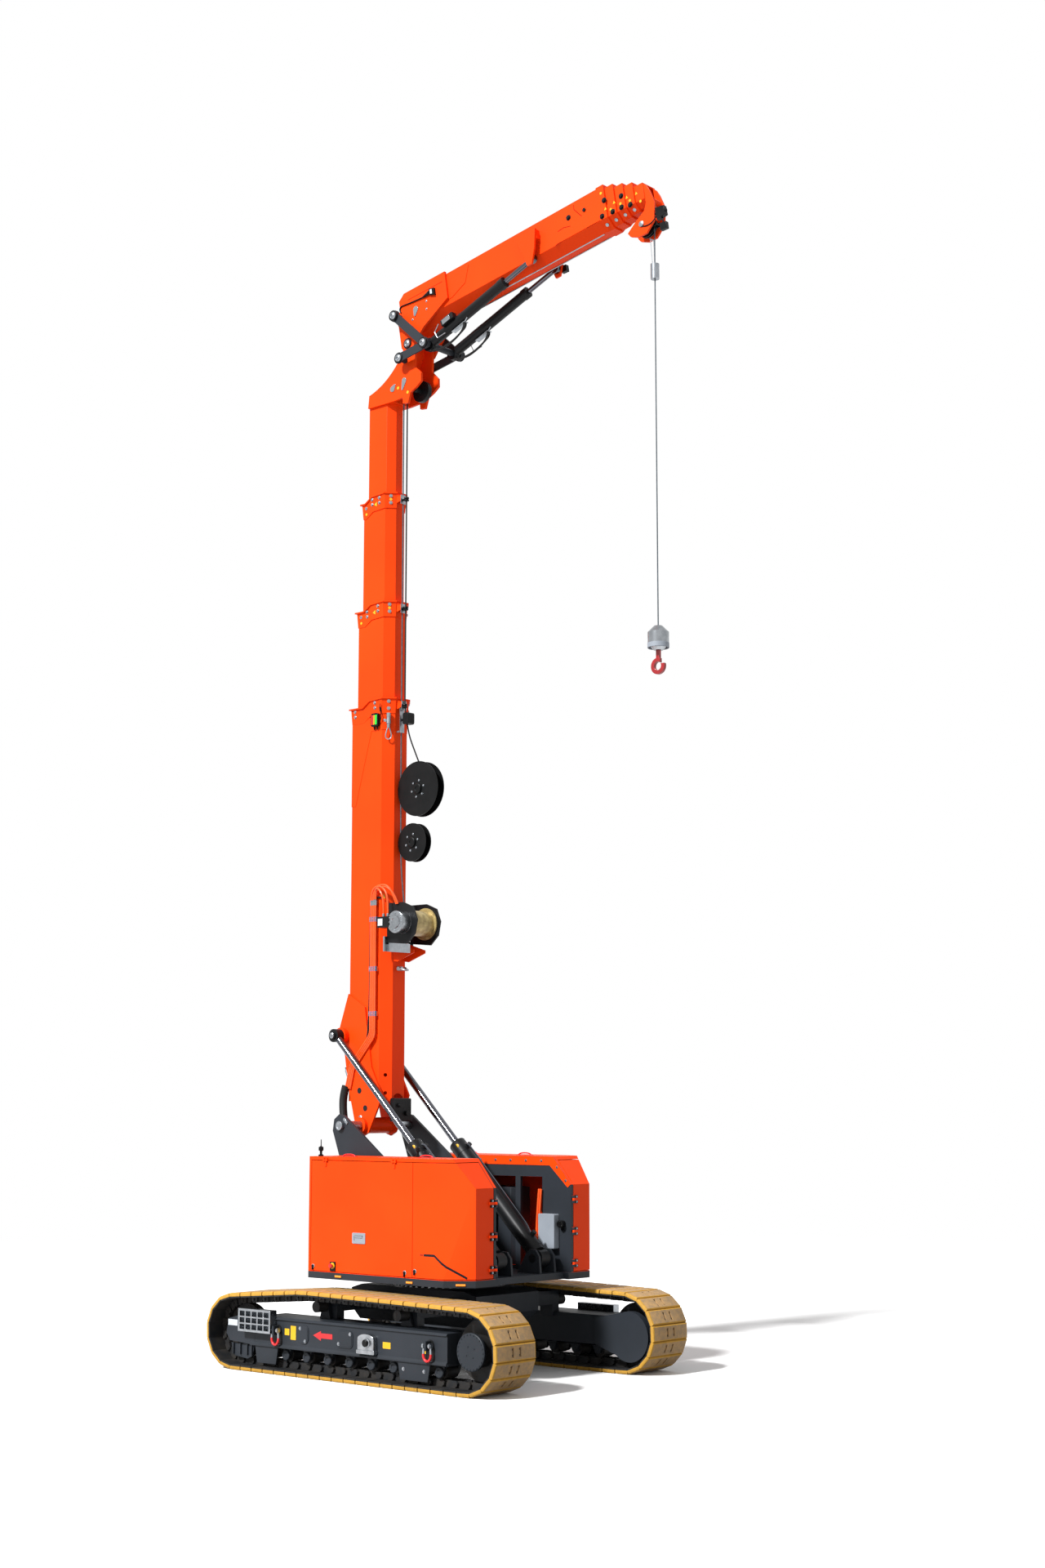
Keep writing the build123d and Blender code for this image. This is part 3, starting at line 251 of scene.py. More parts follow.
def addTube(bm, path, radius, sides=8):
    # A round tube along a smooth line through the points of path.
    curve = bpy.data.curves.new("path", "CURVE")
    curve.dimensions = "3D"
    spline = curve.splines.new("NURBS")
    spline.points.add(len(path) - 1)
    for point, place in zip(spline.points, path):
        point.co = (*place, 1)
    spline.order_u = 3
    spline.use_endpoint_u = True
    spline.resolution_u = 6
    holder = bpy.data.objects.new("path", curve)
    line = bpy.data.meshes.new_from_object(holder)
    points = [vertex.co.copy() for vertex in line.vertices]
    bpy.data.objects.remove(holder)
    bpy.data.meshes.remove(line)
    rings = []
    side = None
    for number, point in enumerate(points):
        ahead = (points[min(number + 1, len(points) - 1)] - points[max(number - 1, 0)]).normalized()
        if side is None:
            side = ahead.orthogonal().normalized()
        side = (side - ahead * side.dot(ahead)).normalized()
        across = ahead.cross(side)
        angles = [2 * math.pi * step / sides for step in range(sides)]
        rings.append([
            bm.verts.new(point + radius * (side * math.cos(angle) + across * math.sin(angle))) for angle in angles])
    joinRings(bm, rings)
    bm.faces.new(rings[0])
    bm.faces.new(rings[-1])


def addRibbon(bm, points, across, lift, width):
    # A flat stripe along points: across is its width's direction, lift its height over the surface it lies on.
    across, lift = Vector(across).normalized() * width / 2, Vector(lift)
    rows = [[bm.verts.new(Vector(point) + offset) for offset in (across, across + lift, lift - across, -across)]
            for point in points]
    for first, second in zip(rows, rows[1:]):
        for step in range(3):
            bm.faces.new((first[step], first[step + 1], second[step + 1], second[step]))
    for row in (rows[0], rows[-1]):
        bm.faces.new(row)


def addCap(bm, centre, axis, radius, height, sides=28):
    # A round cap with a turned edge and a shallow dish in the middle.
    profile = [(radius, 0), (radius, height * 0.7), (radius * 0.86, height), (radius * 0.5, height),
               (radius * 0.44, height * 0.72), (0, height * 0.72)]
    addTurned(bm, centre, axis, profile, sides)


def drawnMesh(name, draw, *given):
    # draw(bm, *given) draws the mesh in place.
    bm = bmesh.new()
    draw(bm, *given)
    bmesh.ops.recalc_face_normals(bm, faces=bm.faces)
    mesh = bpy.data.meshes.new(name)
    bm.to_mesh(mesh)
    bm.free()
    return mesh


def addObject(name, data):
    thing = bpy.data.objects.new(name, data)
    bpy.context.scene.collection.objects.link(thing)
    return thing


def addBevel(piece, width, angle):
    edges = piece.modifiers.new("edges", "BEVEL")
    edges.width = width
    edges.segments = 2
    edges.limit_method = "ANGLE"
    edges.angle_limit = math.radians(angle)


def finishPiece(name, mesh, body, bevel=0.0):
    for polygon in mesh.polygons:
        polygon.use_smooth = True
    mesh.set_sharp_from_angle(angle=math.radians(32))
    piece = addObject(name, mesh)
    if bevel:
        addBevel(piece, bevel, 32)
    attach(piece, body)
    return piece


def makePiece(name, body, finish, draw, *given, bevel=0.0):
    mesh = drawnMesh(name, draw, *given)
    mesh.materials.append(finishes[finish])
    return finishPiece(name, mesh, body, bevel)


def newTree(name, kinds):
    # A Geometry Nodes tree; kinds are its inputs beside the geometry, as name: (socket kind, default).
    tree = bpy.data.node_groups.new(name, "GeometryNodeTree")
    for key, (kind, default) in {"Geometry": ("Geometry", None), **kinds}.items():
        socket = tree.interface.new_socket(key, in_out="INPUT", socket_type=f"NodeSocket{kind}")
        if default is not None:
            socket.default_value = default
    tree.interface.new_socket("Geometry", in_out="OUTPUT", socket_type="NodeSocketGeometry")
    return tree, addNode(tree, "NodeGroupInput").outputs


# Repeats: one tree sets a small mesh on every point of a field, turned as the point's own value says
def makeRepeatTree():
    tree, given = newTree("repeat on points", {
        "Part": ("Object", None), "Size": ("Float", 1.0), "Finish": ("Material", None)})
    part = addNode(tree, "GeometryNodeObjectInfo", {"Object": given["Part"]})
    turn = addNode(tree, "GeometryNodeInputNamedAttribute", {"Name": "turn"}, data_type="FLOAT_VECTOR")
    spin = addNode(tree, "FunctionNodeEulerToRotation", {"Euler": turn.outputs["Attribute"]})
    spread = addNode(tree, "GeometryNodeInstanceOnPoints", {
        "Points": given["Geometry"], "Instance": part.outputs["Geometry"],
        "Rotation": spin.outputs["Rotation"], "Scale": given["Size"]})
    real = addNode(tree, "GeometryNodeRealizeInstances", {"Geometry": spread.outputs["Instances"]})
    painted = addNode(tree, "GeometryNodeSetMaterial", {
        "Geometry": real.outputs["Geometry"], "Material": given["Finish"]})
    addNode(tree, "NodeGroupOutput", {"Geometry": painted.outputs["Geometry"]})
    return tree


repeatTree = makeRepeatTree()


def setInputs(modifier, values):
    for socket in modifier.node_group.interface.items_tree:
        if socket.in_out == "INPUT" and socket.name in values:
            modifier[socket.identifier] = values[socket.name]


def settle(holder):
    # The evaluated result of a holder's Geometry Nodes as a plain mesh; the holder goes.
    bpy.context.view_layer.update()
    evaluated = holder.evaluated_get(bpy.context.evaluated_depsgraph_get())
    mesh = bpy.data.meshes.new_from_object(evaluated)
    bpy.data.objects.remove(holder)
    return mesh


def repeatPart(name, body, finish, part, places, size=1.0):
    # part is a mesh drawn at the origin; places is a list of (point, Euler turn).
    field = bpy.data.meshes.new(f"{name} field")
    field.from_pydata([place for place, turn in places], [], [])
    turns = field.attributes.new("turn", "FLOAT_VECTOR", "POINT")
    turns.data.foreach_set("vector", [value for place, turn in places for value in turn])
    holder, model = addObject(f"{name} field", field), addObject(f"{name} part", part)
    modifier = holder.modifiers.new("repeat", "NODES")
    modifier.node_group = repeatTree
    setInputs(modifier, {"Part": model, "Size": size, "Finish": finishes[finish]})
    mesh = settle(holder)
    mesh.name = name
    bpy.data.objects.remove(model)
    return finishPiece(name, mesh, body)


# Fasteners: the turns that aim a part drawn along +Z
aims = {
    "right": (math.pi / 2, 0, 0), "left": (-math.pi / 2, 0, 0), "front": (0, math.pi / 2, 0),
    "up": (0, 0, 0), "down": (math.pi, 0, 0),
    "rightBevel": (0, math.pi / 2, -math.pi / 4), "leftBevel": (0, math.pi / 2, math.pi / 4),
}


bolt = {"washerRadius": 0.72, "washer": 0.1, "head": ((0.5, 0), (0.5, 0.3), (0.43, 0.35), (0, 0.35))}


def drawBolt(bm):
    # A hexagon head on its washer, one unit over the head's corners.
    addDisc(bm, (0, 0, 0), (0, 0, 1), bolt["washerRadius"], bolt["washer"], 12)
    addTurned(bm, (0, 0, bolt["washer"]), (0, 0, 1), bolt["head"], 6)


def addBolts(name, body, finish, places, size):
    # places is a list of (point, aim); size is the head's diameter over its corners, in metres.
    places = [(point, aims[aim]) for point, aim in places]
    return repeatPart(name, body, finish, drawnMesh("bolt", drawBolt), places, size)


def ringPlaces(centre, radius, count, aim, start=0.0):
    # Points for a circle of bolts round an axis along Y ("right", "left") or along Z ("up", "down").
    places = []
    for number in range(count):
        angle = start + 2 * math.pi * number / count
        across, up = radius * math.cos(angle), radius * math.sin(angle)
        shift = (across, 0, up) if aim in hands else (across, up, 0)
        places.append((tuple(c + s for c, s in zip(centre, shift)), aim))
    return places


# CAD pieces: each keeps its own shape, gets its finish here and a soft edge where it is folded or machined
def makeSmoothTree():
    tree, given = newTree("smooth by edge angle", {"Angle": ("Float", math.radians(30))})
    joined = addNode(tree, "GeometryNodeMergeByDistance", {"Geometry": given["Geometry"], "Distance": 0.00002})
    faces = addNode(tree, "GeometryNodeSetShadeSmooth", {"Geometry": joined.outputs["Geometry"]}, domain="FACE")
    angle = addNode(tree, "GeometryNodeInputMeshEdgeAngle").outputs["Unsigned Angle"]
    steep = addNode(tree, "FunctionNodeCompare", {"A": angle, "B": given["Angle"]}, operation="GREATER_THAN")
    edges = addNode(tree, "GeometryNodeSetShadeSmooth", {
        "Geometry": faces.outputs["Geometry"], "Selection": steep.outputs["Result"], "Shade Smooth": False},
        domain="EDGE")
    addNode(tree, "NodeGroupOutput", {"Geometry": edges.outputs["Geometry"]})
    return tree


smoothTree = makeSmoothTree()
cadLooks = {
    # finish: (edge radius, node names)
    "greyPaint": (0.003, ("centre_frame", "machine_frame", "right_track_frame", "left_track_frame",
                          "right_cross_beams", "left_cross_beams", "tank_unit", "link_lower", "link_upper")),
    "blackPaint": (0.0015, ("slew_ring", "power_unit", "deck_equipment", "luff_barrels", "winch_frame",
                            "reel_brackets", "head_sheave", "jib_barrels", "tip_sheave", "rope_guide")),
    "orangePaint": (0.002, ("right_cowl", "left_cowl", "right_side_door", "left_side_door", "right_front_door",
                            "left_front_door", "boom_base", "boom_section_2", "boom_section_3", "boom_section_4",
                            "boom_head", "jib_base", "jib_section_2", "jib_section_3", "jib_section_4",
                            "jib_section_5", "jib_head")),
    "trackSteel": (0.002, ("right_track_wheels", "left_track_wheels", "right_track_belt", "left_track_belt")),
    "blackPlastic": (0.001, ("large_reel", "small_reel")),
    "chrome": (0.001, ("luff_rods", "jib_rods")),
    "zinc": (0.001, ("boom_pin", "limit_weight")),
    "castAlloy": (0.002, ("hook_block", "right_step", "left_step")),
    "orangeHose": (0.0, ("boom_hoses",)),
    "greasedRope": (0.001, ("winch_drum",)),
    "steelRope": (0.0, ("load_line",)),
    "hookPaint": (0.004, ("hook",)),
}
for finish, (radius, names) in cadLooks.items():
    for name in names:
        node = nodes[name]
        node.data.materials.clear()
        node.data.materials.append(finishes[finish])
        if "custom_normal" in node.data.attributes:
            node.data.attributes.remove(node.data.attributes["custom_normal"])
        node.modifiers.new("smooth", "NODES").node_group = smoothTree
        if radius:
            addBevel(node, radius, 30)


def paintFaces(name, finish, chosen):
    # A second finish on the faces of a CAD piece that chosen picks out.
    mesh = nodes[name].data
    mesh.materials.append(finishes[finish])
    for polygon in mesh.polygons:
        if chosen(polygon.center, polygon.normal):
            polygon.material_index = 1


print("CAD pieces painted")


# Tracks: shoes on a link loop that follows the tangents round idler, sprocket and carrier rollers
track = {
    "middle": 1.099, "shoes": 54, "width": 0.530, "padLength": 0.146, "padThickness": 0.035,
    "holeColumn": 0.048, "holeRow": 0.026, "slotDepth": 0.010, "slotHalfWidth": 0.0125, "slotHalfLength": 0.042,
    "linkMiddle": 0.070, "linkThickness": 0.026, "linkDepth": 0.108, "linkShift": 0.012,
    "pinAlong": 0.078, "pinDrop": 0.030, "pinRadius": 0.024, "bossRadius": 0.017, "bossHalf": 0.032,
    "treadIn": 0.012, "treadInAcross": 0.018, "edge": 0.02, "hole": ((0.0095, -0.002), (0.0095, 0.001), (0, 0.001)),
    # A pad's flank from its tread upwards: (outwards, level), the last level being the pad's own thickness
    "flank": ((0.008, 0.005), (0.012, 0.014), (0.012, 0.035)), "flankAcross": 1.4, "slotTaper": 0.94,
    # Each wheel the belt lies on: (x, z, radius to the belt)
    "wheels": ((-1.530, 0.360, 0.360), (1.575, 0.383, 0.383), (0.540, 0.620, 0.164), (-0.540, 0.634, 0.164)),
}


def runAngle(first, second):
    heading = math.atan2(second[1] - first[1], second[0] - first[0])
    return heading - math.acos((first[2] - second[2]) / math.dist(first[:2], second[:2]))


def wheelPoint(wheel, angle):
    return (wheel[0] + wheel[2] * math.cos(angle), wheel[1] + wheel[2] * math.sin(angle))


def beltStretches():
    # Each straight run with the arc that follows it.
    wheels = track["wheels"]
    stretches = []
    for number, first in enumerate(wheels):
        second, third = wheels[(number + 1) % len(wheels)], wheels[(number + 2) % len(wheels)]
        start = runAngle(first, second)
        turn = (runAngle(second, third) - start) % (2 * math.pi)
        begin, end = wheelPoint(first, start), wheelPoint(second, start)
        stretches.append((begin, end, math.dist(begin, end), second, start, turn))
    return stretches


stretches = beltStretches()
beltLength = sum(run + wheel[2] * turn for begin, end, run, wheel, start, turn in stretches)


def beltPlace(distance):
    left = distance % beltLength
    for begin, end, run, wheel, start, turn in stretches:
        if left <= run:
            share = left / run
            return (begin[0] + share * (end[0] - begin[0]), begin[1] + share * (end[1] - begin[1]))
        left -= run
        if left <= wheel[2] * turn:
            return wheelPoint(wheel, start + left / wheel[2])
        left -= wheel[2] * turn
    return stretches[0][0]


def shoePlaces(side):
    pitch = beltLength / track["shoes"]
    places = []
    for number in range(track["shoes"]):
        start, end = beltPlace(number * pitch), beltPlace((number + 1) * pitch)
        heading = math.atan2(end[1] - start[1], end[0] - start[0])
        point = ((start[0] + end[0]) / 2, side * track["middle"], (start[1] + end[1]) / 2)
        places.append((point, (0, -heading, 0)))
    return places


def outwards(value, limit):
    # 1, -1 or 0: beyond a limit, beyond the opposite one, or between them.
    return (value > limit) - (value < -limit)


# One pad, tread face down in the belt's own frame: x along the belt, z upwards into it
def drawPad(bm):
    half, wide, edge = track["padLength"] / 2, track["width"] / 2, track["edge"]
    column, slotWide, slotLong = track["holeColumn"], track["slotHalfWidth"], track["slotHalfLength"]
    zone = bm.faces.layers.float.new("zone")
    alongBelt = (-half + track["treadIn"], -slotLong, slotLong, half - track["treadIn"])
    across = (-wide + track["treadInAcross"], -column - slotWide, -column + slotWide,
              column - slotWide, column + slotWide, wide - track["treadInAcross"])
    grid = [[bm.verts.new((x, y, 0)) for y in across] for x in alongBelt]
    for row in range(len(alongBelt) - 1):
        for place in range(len(across) - 1):
            corners = [grid[row][place], grid[row][place + 1], grid[row + 1][place + 1], grid[row + 1][place]]
            tread = corners
            if row == 1 and place in (1, 3):
                # One of the two sunk slots, with its walls
                tread = [bm.verts.new((corner.co.x * track["slotTaper"], corner.co.y, track["slotDepth"]))
                         for corner in corners]
                for face in joinRings(bm, [corners, tread]):
                    face[zone] = 1.0
            bm.faces.new(tread)[zone] = 1.0
    rim = [row[0] for row in grid] + grid[-1][1:] + [row[-1] for row in reversed(grid[:-1])] + grid[0][-2:0:-1]
    rings = [rim]
    for grow, level in track["flank"]:
        rings.append([bm.verts.new((
            vertex.co.x + grow * outwards(vertex.co.x, half - edge),
            vertex.co.y + grow * track["flankAcross"] * outwards(vertex.co.y, wide - edge), level))
            for vertex in rim])
    for face in joinRings(bm, rings) + [bm.faces.new(rings[-1])]:
        face[zone] = 0.0
    # Small flat discs in the slots carry the holes' painted shade
    for y in (-column, column):
        for x in (-track["holeRow"], track["holeRow"]):
            before = len(bm.faces)
            addTurned(bm, (x, y, track["slotDepth"]), (0, 0, -1), track["hole"], 10)
            bm.faces.ensure_lookup_table()
            for face in bm.faces[before:]:
                face[zone] = 2.0


# Under a pad: its pressed plate, and a pair of links with their pin and bushing
def drawLink(bm):
    wide, deep = track["width"] / 2 - 0.004, track["padThickness"]
    plate = [(-0.068, deep), (0.066, deep), (0.074, deep + 0.012), (0.060, deep + 0.014), (-0.076, deep + 0.012)]
    addPlate(bm, plate, -wide, wide)
    low, high, half = deep + 0.012, track["linkDepth"], track["linkThickness"] / 2
    web = [(-0.050, low), (0.050, low), (0.056, low + 0.016), (0.030, high), (-0.030, high), (-0.056, low + 0.016)]
    rearEnd = [(-0.098, low + 0.020), (-0.080, low + 0.004), (-0.030, low), (-0.020, high), (-0.078, high),
               (-0.098, high - 0.020)]
    frontEnd = [(0.020, low), (0.060, low), (0.092, low + 0.016), (0.094, high - 0.018), (0.076, high), (0.020, high)]
    x, z = track["pinAlong"], high - track["pinDrop"]
    for side in hands.values():
        middle = side * track["linkMiddle"]
        for outline, shift in ((web, 0), (rearEnd, -side), (frontEnd, side)):
            centre = middle + shift * track["linkShift"]
            addPlate(bm, outline, centre - half, centre + half)
        addBar(bm, (x, middle - track["bossHalf"], z), (x, middle + track["bossHalf"], z), track["bossRadius"], 12)
    addBar(bm, (x, -track["linkMiddle"], z), (x, track["linkMiddle"], z), track["pinRadius"], 12)


padPart, linkPart = drawnMesh("shoe pad", drawPad), drawnMesh("shoe link", drawLink)
for word, side in hands.items():
    places = shoePlaces(side)
    pads = repeatPart(f"{word}_pads", f"{word}_track", "pad", padPart, places)
    links = repeatPart(f"{word}_links", f"{word}_track", "trackSteel", linkPart, places)
    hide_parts(f"{word}_track_belt")
    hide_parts(f"{word}_track_belt")
print("tracks ready")


# Track frames: pressed lips, idler cheeks, covers, drive cover, roller ends and shackles
frames = {
    "face": 1.274, "front": 1.285, "lipRear": -1.32, "lipReach": 0.016, "lips": ((0.236, 0.276), (0.496, 0.522)),
    "cheek": ((-1.680, 0.330), (-1.650, 0.470), (-1.480, 0.512), (-1.262, 0.518), (-1.262, 0.240), (-1.630, 0.262)),
    "guard": ((-1.640, 0.240), (-1.300, 0.240), (-1.330, 0.130), (-1.400, 0.100), (-1.600, 0.120)),
    "cheekThickness": 0.016, "guardFar": 0.04, "guardNear": 0.03, "ribNear": 0.012,
    "guardRibs": (-1.60, -1.50, -1.40, -1.335), "ribFoot": 0.135, "ribTop": 0.238, "ribWidth": 0.012,
    "sprocket": (1.575, 0.383), "driveRadius": 0.166, "driveFace": 1.283, "driveBolts": 24, "hubRadius": 0.055,
    "rollerPitch": 0.288, "firstRoller": -1.165, "rollers": 9, "rollerLevel": 0.170, "rollerFace": 1.212,
    # Each cover: two opposite corners and the corner radius
    "covers": (((-0.648, 0.297), (-0.510, 0.473), 0.055), ((-0.132, 0.301), (0.087, 0.461), 0.045)),
    "coverRim": 0.012, "coverLow": 0.007, "coverHigh": 0.010, "rollerCap": (0.050, 0.020),
    "coverBolt": 0.024, "driveBolt": 0.012, "rollerBolt": 0.022, "rollerBoltShifts": (-0.045, 0.045),
    "coverBolts": ((-0.618, 0.440), (-0.548, 0.326), (0.058, 0.432), (-0.094, 0.336)),
    "footBolts": ((0.742, 0.176), (1.000, 0.172)), "sole": 0.236,
    "lashing": (-0.933, 1.075), "lashingLevel": 0.404, "eyeOut": 1.314,
    # Half a shackle, from its pin: (out along x, down)
    "leg": ((0.039, 0), (0.044, 0.040), (0.047, 0.074)), "bow": ((0.047, 0.070), (0.046, 0.112), (0, 0.142)),
    "pinEnds": (-0.052, 0.056), "pinRadius": 0.0155, "pinCap": (0.026, 0.018), "legRadius": 0.0115,
    "bowRadius": 0.0125,
    # The rubber behind a shackle: half width, down and up from the pin, corner radius, thickness
    "pad": (0.052, 0.152, 0.052, 0.051, 0.004),
}
rollerPlaces = [frames["firstRoller"] + number * frames["rollerPitch"] for number in range(frames["rollers"])]


def drawFrameDressing(bm, side):
    face, reach = side * frames["face"], side * (frames["face"] + frames["lipReach"])
    for foot, top in frames["lips"]:
        profile = [(face, foot), (reach, foot + 0.004), (reach, top - 0.020), (face, top)]
        addPlate(bm, profile, frames["lipRear"], frames["front"], "X")
    # The cheek that carries the idler runs on from the frame
    guardFace = face - side * frames["guardNear"]
    addPlate(bm, frames["cheek"], face - side * frames["cheekThickness"], face)
    addPlate(bm, frames["guard"], face - side * frames["guardFar"], guardFace)
    for x in frames["guardRibs"]:
        low, high, after = frames["ribFoot"], frames["ribTop"], x + frames["ribWidth"]
        rib = [(x, high), (after, high), (after, low), (x, low)]
        addPlate(bm, rib, guardFace, face - side * frames["ribNear"])
    # Drive cover, its rim proud of the sprocket
    x, z = frames["sprocket"]
    radius = frames["driveRadius"]
    profile = [(radius * 0.98, -0.03), (radius, -0.02), (radius, 0), (radius * 0.95, 0.006), (0, 0.006)]
    addTurned(bm, (x, side * frames["driveFace"], z), (0, side, 0), profile, 48)
    for low, high, corner in frames["covers"]:
        rim = frames["coverRim"]
        inner = (low[0] + rim, low[1] + rim), (high[0] - rim, high[1] - rim)
        step, top = face + side * frames["coverLow"], face + side * frames["coverHigh"]
        addPlate(bm, roundedOutline(low, high, corner, 6), face, step)
        addPlate(bm, roundedOutline(*inner, corner - rim, 6), step, top)
    for x in rollerPlaces:
        addCap(bm, (x, side * frames["rollerFace"], frames["rollerLevel"]), (0, side, 0), *frames["rollerCap"])
    # A folded lip across the frame's front end
    front, sole = frames["front"], frames["sole"]
    addBox(bm, (front - 0.02, face, sole), (front + 0.006, face - side * 0.35, sole + 0.020))


def drawShackles(bm, side):
    # The pin of each bow shackle lies through its lashing lug.
    y, z = side * frames["eyeOut"], frames["lashingLevel"]
    for x in frames["lashing"]:
        rear, front = frames["pinEnds"]
        addBar(bm, (x + rear, y, z), (x + front, y, z), frames["pinRadius"], 16)
        for end in (-1, 1):
            addDisc(bm, (x + end * 0.030, y, z), (end, 0, 0), *frames["pinCap"], 20)
            addTube(bm, [(x + end * out, y, z - down) for out, down in frames["leg"]], frames["legRadius"], 12)


def drawShackleBows(bm, side):
    # The lower half of each shackle is dipped in red.
    y, z = side * frames["eyeOut"], frames["lashingLevel"]
    for x in frames["lashing"]:
        bow = [(x - out, y, z - down) for out, down in frames["bow"]]
        bow += [(x + out, y, z - down) for out, down in frames["bow"][-2::-1]]
        addTube(bm, bow, frames["bowRadius"], 12)


def drawShacklePads(bm, side):
    face, z = side * frames["face"], frames["lashingLevel"]
    half, down, up, corner, thickness = frames["pad"]
    for x in frames["lashing"]:
        outline = roundedOutline((x - half, z - down), (x + half, z + up), corner, 8)
        addPlate(bm, outline, face, face + side * thickness)


for word, side in hands.items():
    rides = f"{word}_track"
    makePiece(f"{word}_frame_dressing", rides, "greyPaint", drawFrameDressing, side, bevel=0.002)
    makePiece(f"{word}_shackles", rides, "zinc", drawShackles, side)
    makePiece(f"{word}_shackle_bows", rides, "redPaint", drawShackleBows, side)
    makePiece(f"{word}_shackle_pads", rides, "blackRubber", drawShacklePads, side)
    face = side * frames["face"]
    small = [((x, face + side * frames["coverHigh"], z), word) for x, z in frames["coverBolts"]]
    small += [((x, face, z), word) for x, z in frames["footBolts"]]
    addBolts(f"{word}_cover_bolts", rides, "zinc", small, frames["coverBolt"])
    hub = (frames["sprocket"][0], side * (frames["driveFace"] + 0.006), frames["sprocket"][1])
    rim = ringPlaces(hub, frames["driveRadius"] * 0.91, frames["driveBolts"], word)
    rim += ringPlaces(hub, frames["hubRadius"], 4, word, 0.6)
    addBolts(f"{word}_drive_bolts", rides, "greyPaint", rim, frames["driveBolt"])
    soles = [((x + shift, side * (frames["rollerFace"] + 0.012), frames["sole"]), "down")
             for x in rollerPlaces for shift in frames["rollerBoltShifts"]]
    addBolts(f"{word}_roller_bolts", rides, "greyPaint", soles, frames["rollerBolt"])

# Grease valve housing, arrow and blank plates, on the right frame only
valve = {"low": (0.196, 0.282), "high": (0.404, 0.455), "arch": 0.045, "reach": 0.052,
         "knob": (0.318, 0.376), "knobRadius": 0.033}


def drawValve(bm):
    (x0, z0), (x1, z1) = valve["low"], valve["high"]
    middle, half, rise = (x0 + x1) / 2, (x1 - x0) / 2, valve["arch"]
    angles = [math.pi * step / 12 for step in range(13)]
    arch = [(middle + half * math.cos(angle), z1 - rise + rise * math.sin(angle)) for angle in angles]
    near, face = -frames["face"] - valve["reach"], -frames["face"]
    addPlate(bm, [(x1, z0)] + arch + [(x0, z0)], near, face)
    addPlate(bm, roundedOutline((x0 - 0.012, z0 - 0.008), (x1 + 0.012, z0 + 0.030), 0.01), near - 0.004, face)
    x, z = valve["knob"]
    addTurned(bm, (x, near, z), (0, -1, 0), [(0.042, 0), (0.042, 0.006), (0.034, 0.010), (0, 0.010)], 28)


def drawKnob(bm):
    (x, z), radius = valve["knob"], valve["knobRadius"]
    profile = [(radius, 0.008), (radius, 0.028), (radius * 0.8, 0.034), (0, 0.034)]
    addTurned(bm, (x, -frames["face"] - valve["reach"], z), (0, -1, 0), profile)


makePiece("grease_valve", "right_track", "castAlloy", drawValve, bevel=0.003)
makePiece("grease_valve_knob", "right_track", "blackPlastic", drawKnob, bevel=0.001)
plates = {
    # finish: outlines on the frame's face, each from two opposite corners
    "yellowSign": (((-0.841, 0.365), (-0.778, 0.425)), ((-0.759, 0.327), (-0.686, 0.455)),
                   ((0.477, 0.337), (0.576, 0.394)), ((0.985, 0.328), (1.034, 0.388))),
    "whiteSign": (((-1.655, 0.405), (-1.520, 0.462)),),
}
signThickness = 0.0015
arrow = [(-0.446, 0.390), (-0.342, 0.345), (-0.342, 0.368), (-0.188, 0.368), (-0.188, 0.414), (-0.342, 0.414),
         (-0.342, 0.434)]


def drawPlates(bm, rectangles):
    for (x0, z0), (x1, z1) in rectangles:
        addBox(bm, (x0, -frames["face"] - signThickness, z0), (x1, -frames["face"], z1))


def drawArrow(bm):
    addPlate(bm, arrow, -frames["face"] - signThickness, -frames["face"])


for finish, rectangles in plates.items():
    makePiece(f"blank_plates_{finish}", "right_track", finish, drawPlates, rectangles)
makePiece("travel_arrow", "right_track", "redPaint", drawArrow)
print("track frames dressed")

# Undercarriage: bolted flange under the slew ring
slew = {"centre": (0.1, 0.0), "inside": 0.49, "flange": 0.545, "level": 0.802, "thickness": 0.012,
        "bolts": 48, "boltRing": 0.525}


def drawSlewFlange(bm):
    inside, outside, thickness = slew["inside"], slew["flange"], slew["thickness"]
    profile = [(inside, 0), (outside, 0), (outside, thickness), (inside, thickness), (inside, 0)]
    addTurned(bm, (*slew["centre"], slew["level"]), (0, 0, 1), profile, 72)


makePiece("slew_flange", "undercarriage", "blackPaint", drawSlewFlange)
flangeTop = (*slew["centre"], slew["level"] + slew["thickness"])
addBolts("slew_bolts", "undercarriage", "zinc", ringPlaces(flangeTop, slew["boltRing"], slew["bolts"], "up"), 0.026)

# Inner walls of the cowls: graphite towards the boom, with an orange folded lid edge and its bolts
walls = {"inner": 0.535, "depth": 0.031, "lidFoot": 1.945, "lidTop": 2.030, "rear": -0.825, "edge": 0.004,
         "slopeTop": (0.972, 2.030), "slopeFoot": (1.192, 1.772), "firstBolt": -0.78, "boltPitch": 0.2, "bolts": 9,
         "slopeBolts": ((1.02, 1.930), (1.13, 1.805))}


def drawLidEdge(bm, side):
    top, foot, low = walls["slopeTop"], walls["slopeFoot"], walls["lidFoot"]
    lean = Vector((foot[0] - top[0], foot[1] - top[1])).normalized()
    drop = Vector((lean.y, -lean.x)) * 0.05
    outline = [(walls["rear"], low), (top[0] - 0.045, low), (foot[0] + drop.x, foot[1] + drop.y), foot, top,
               (walls["rear"], walls["lidTop"])]
    addPlate(bm, outline, side * (walls["inner"] - walls["edge"]), side * walls["inner"])


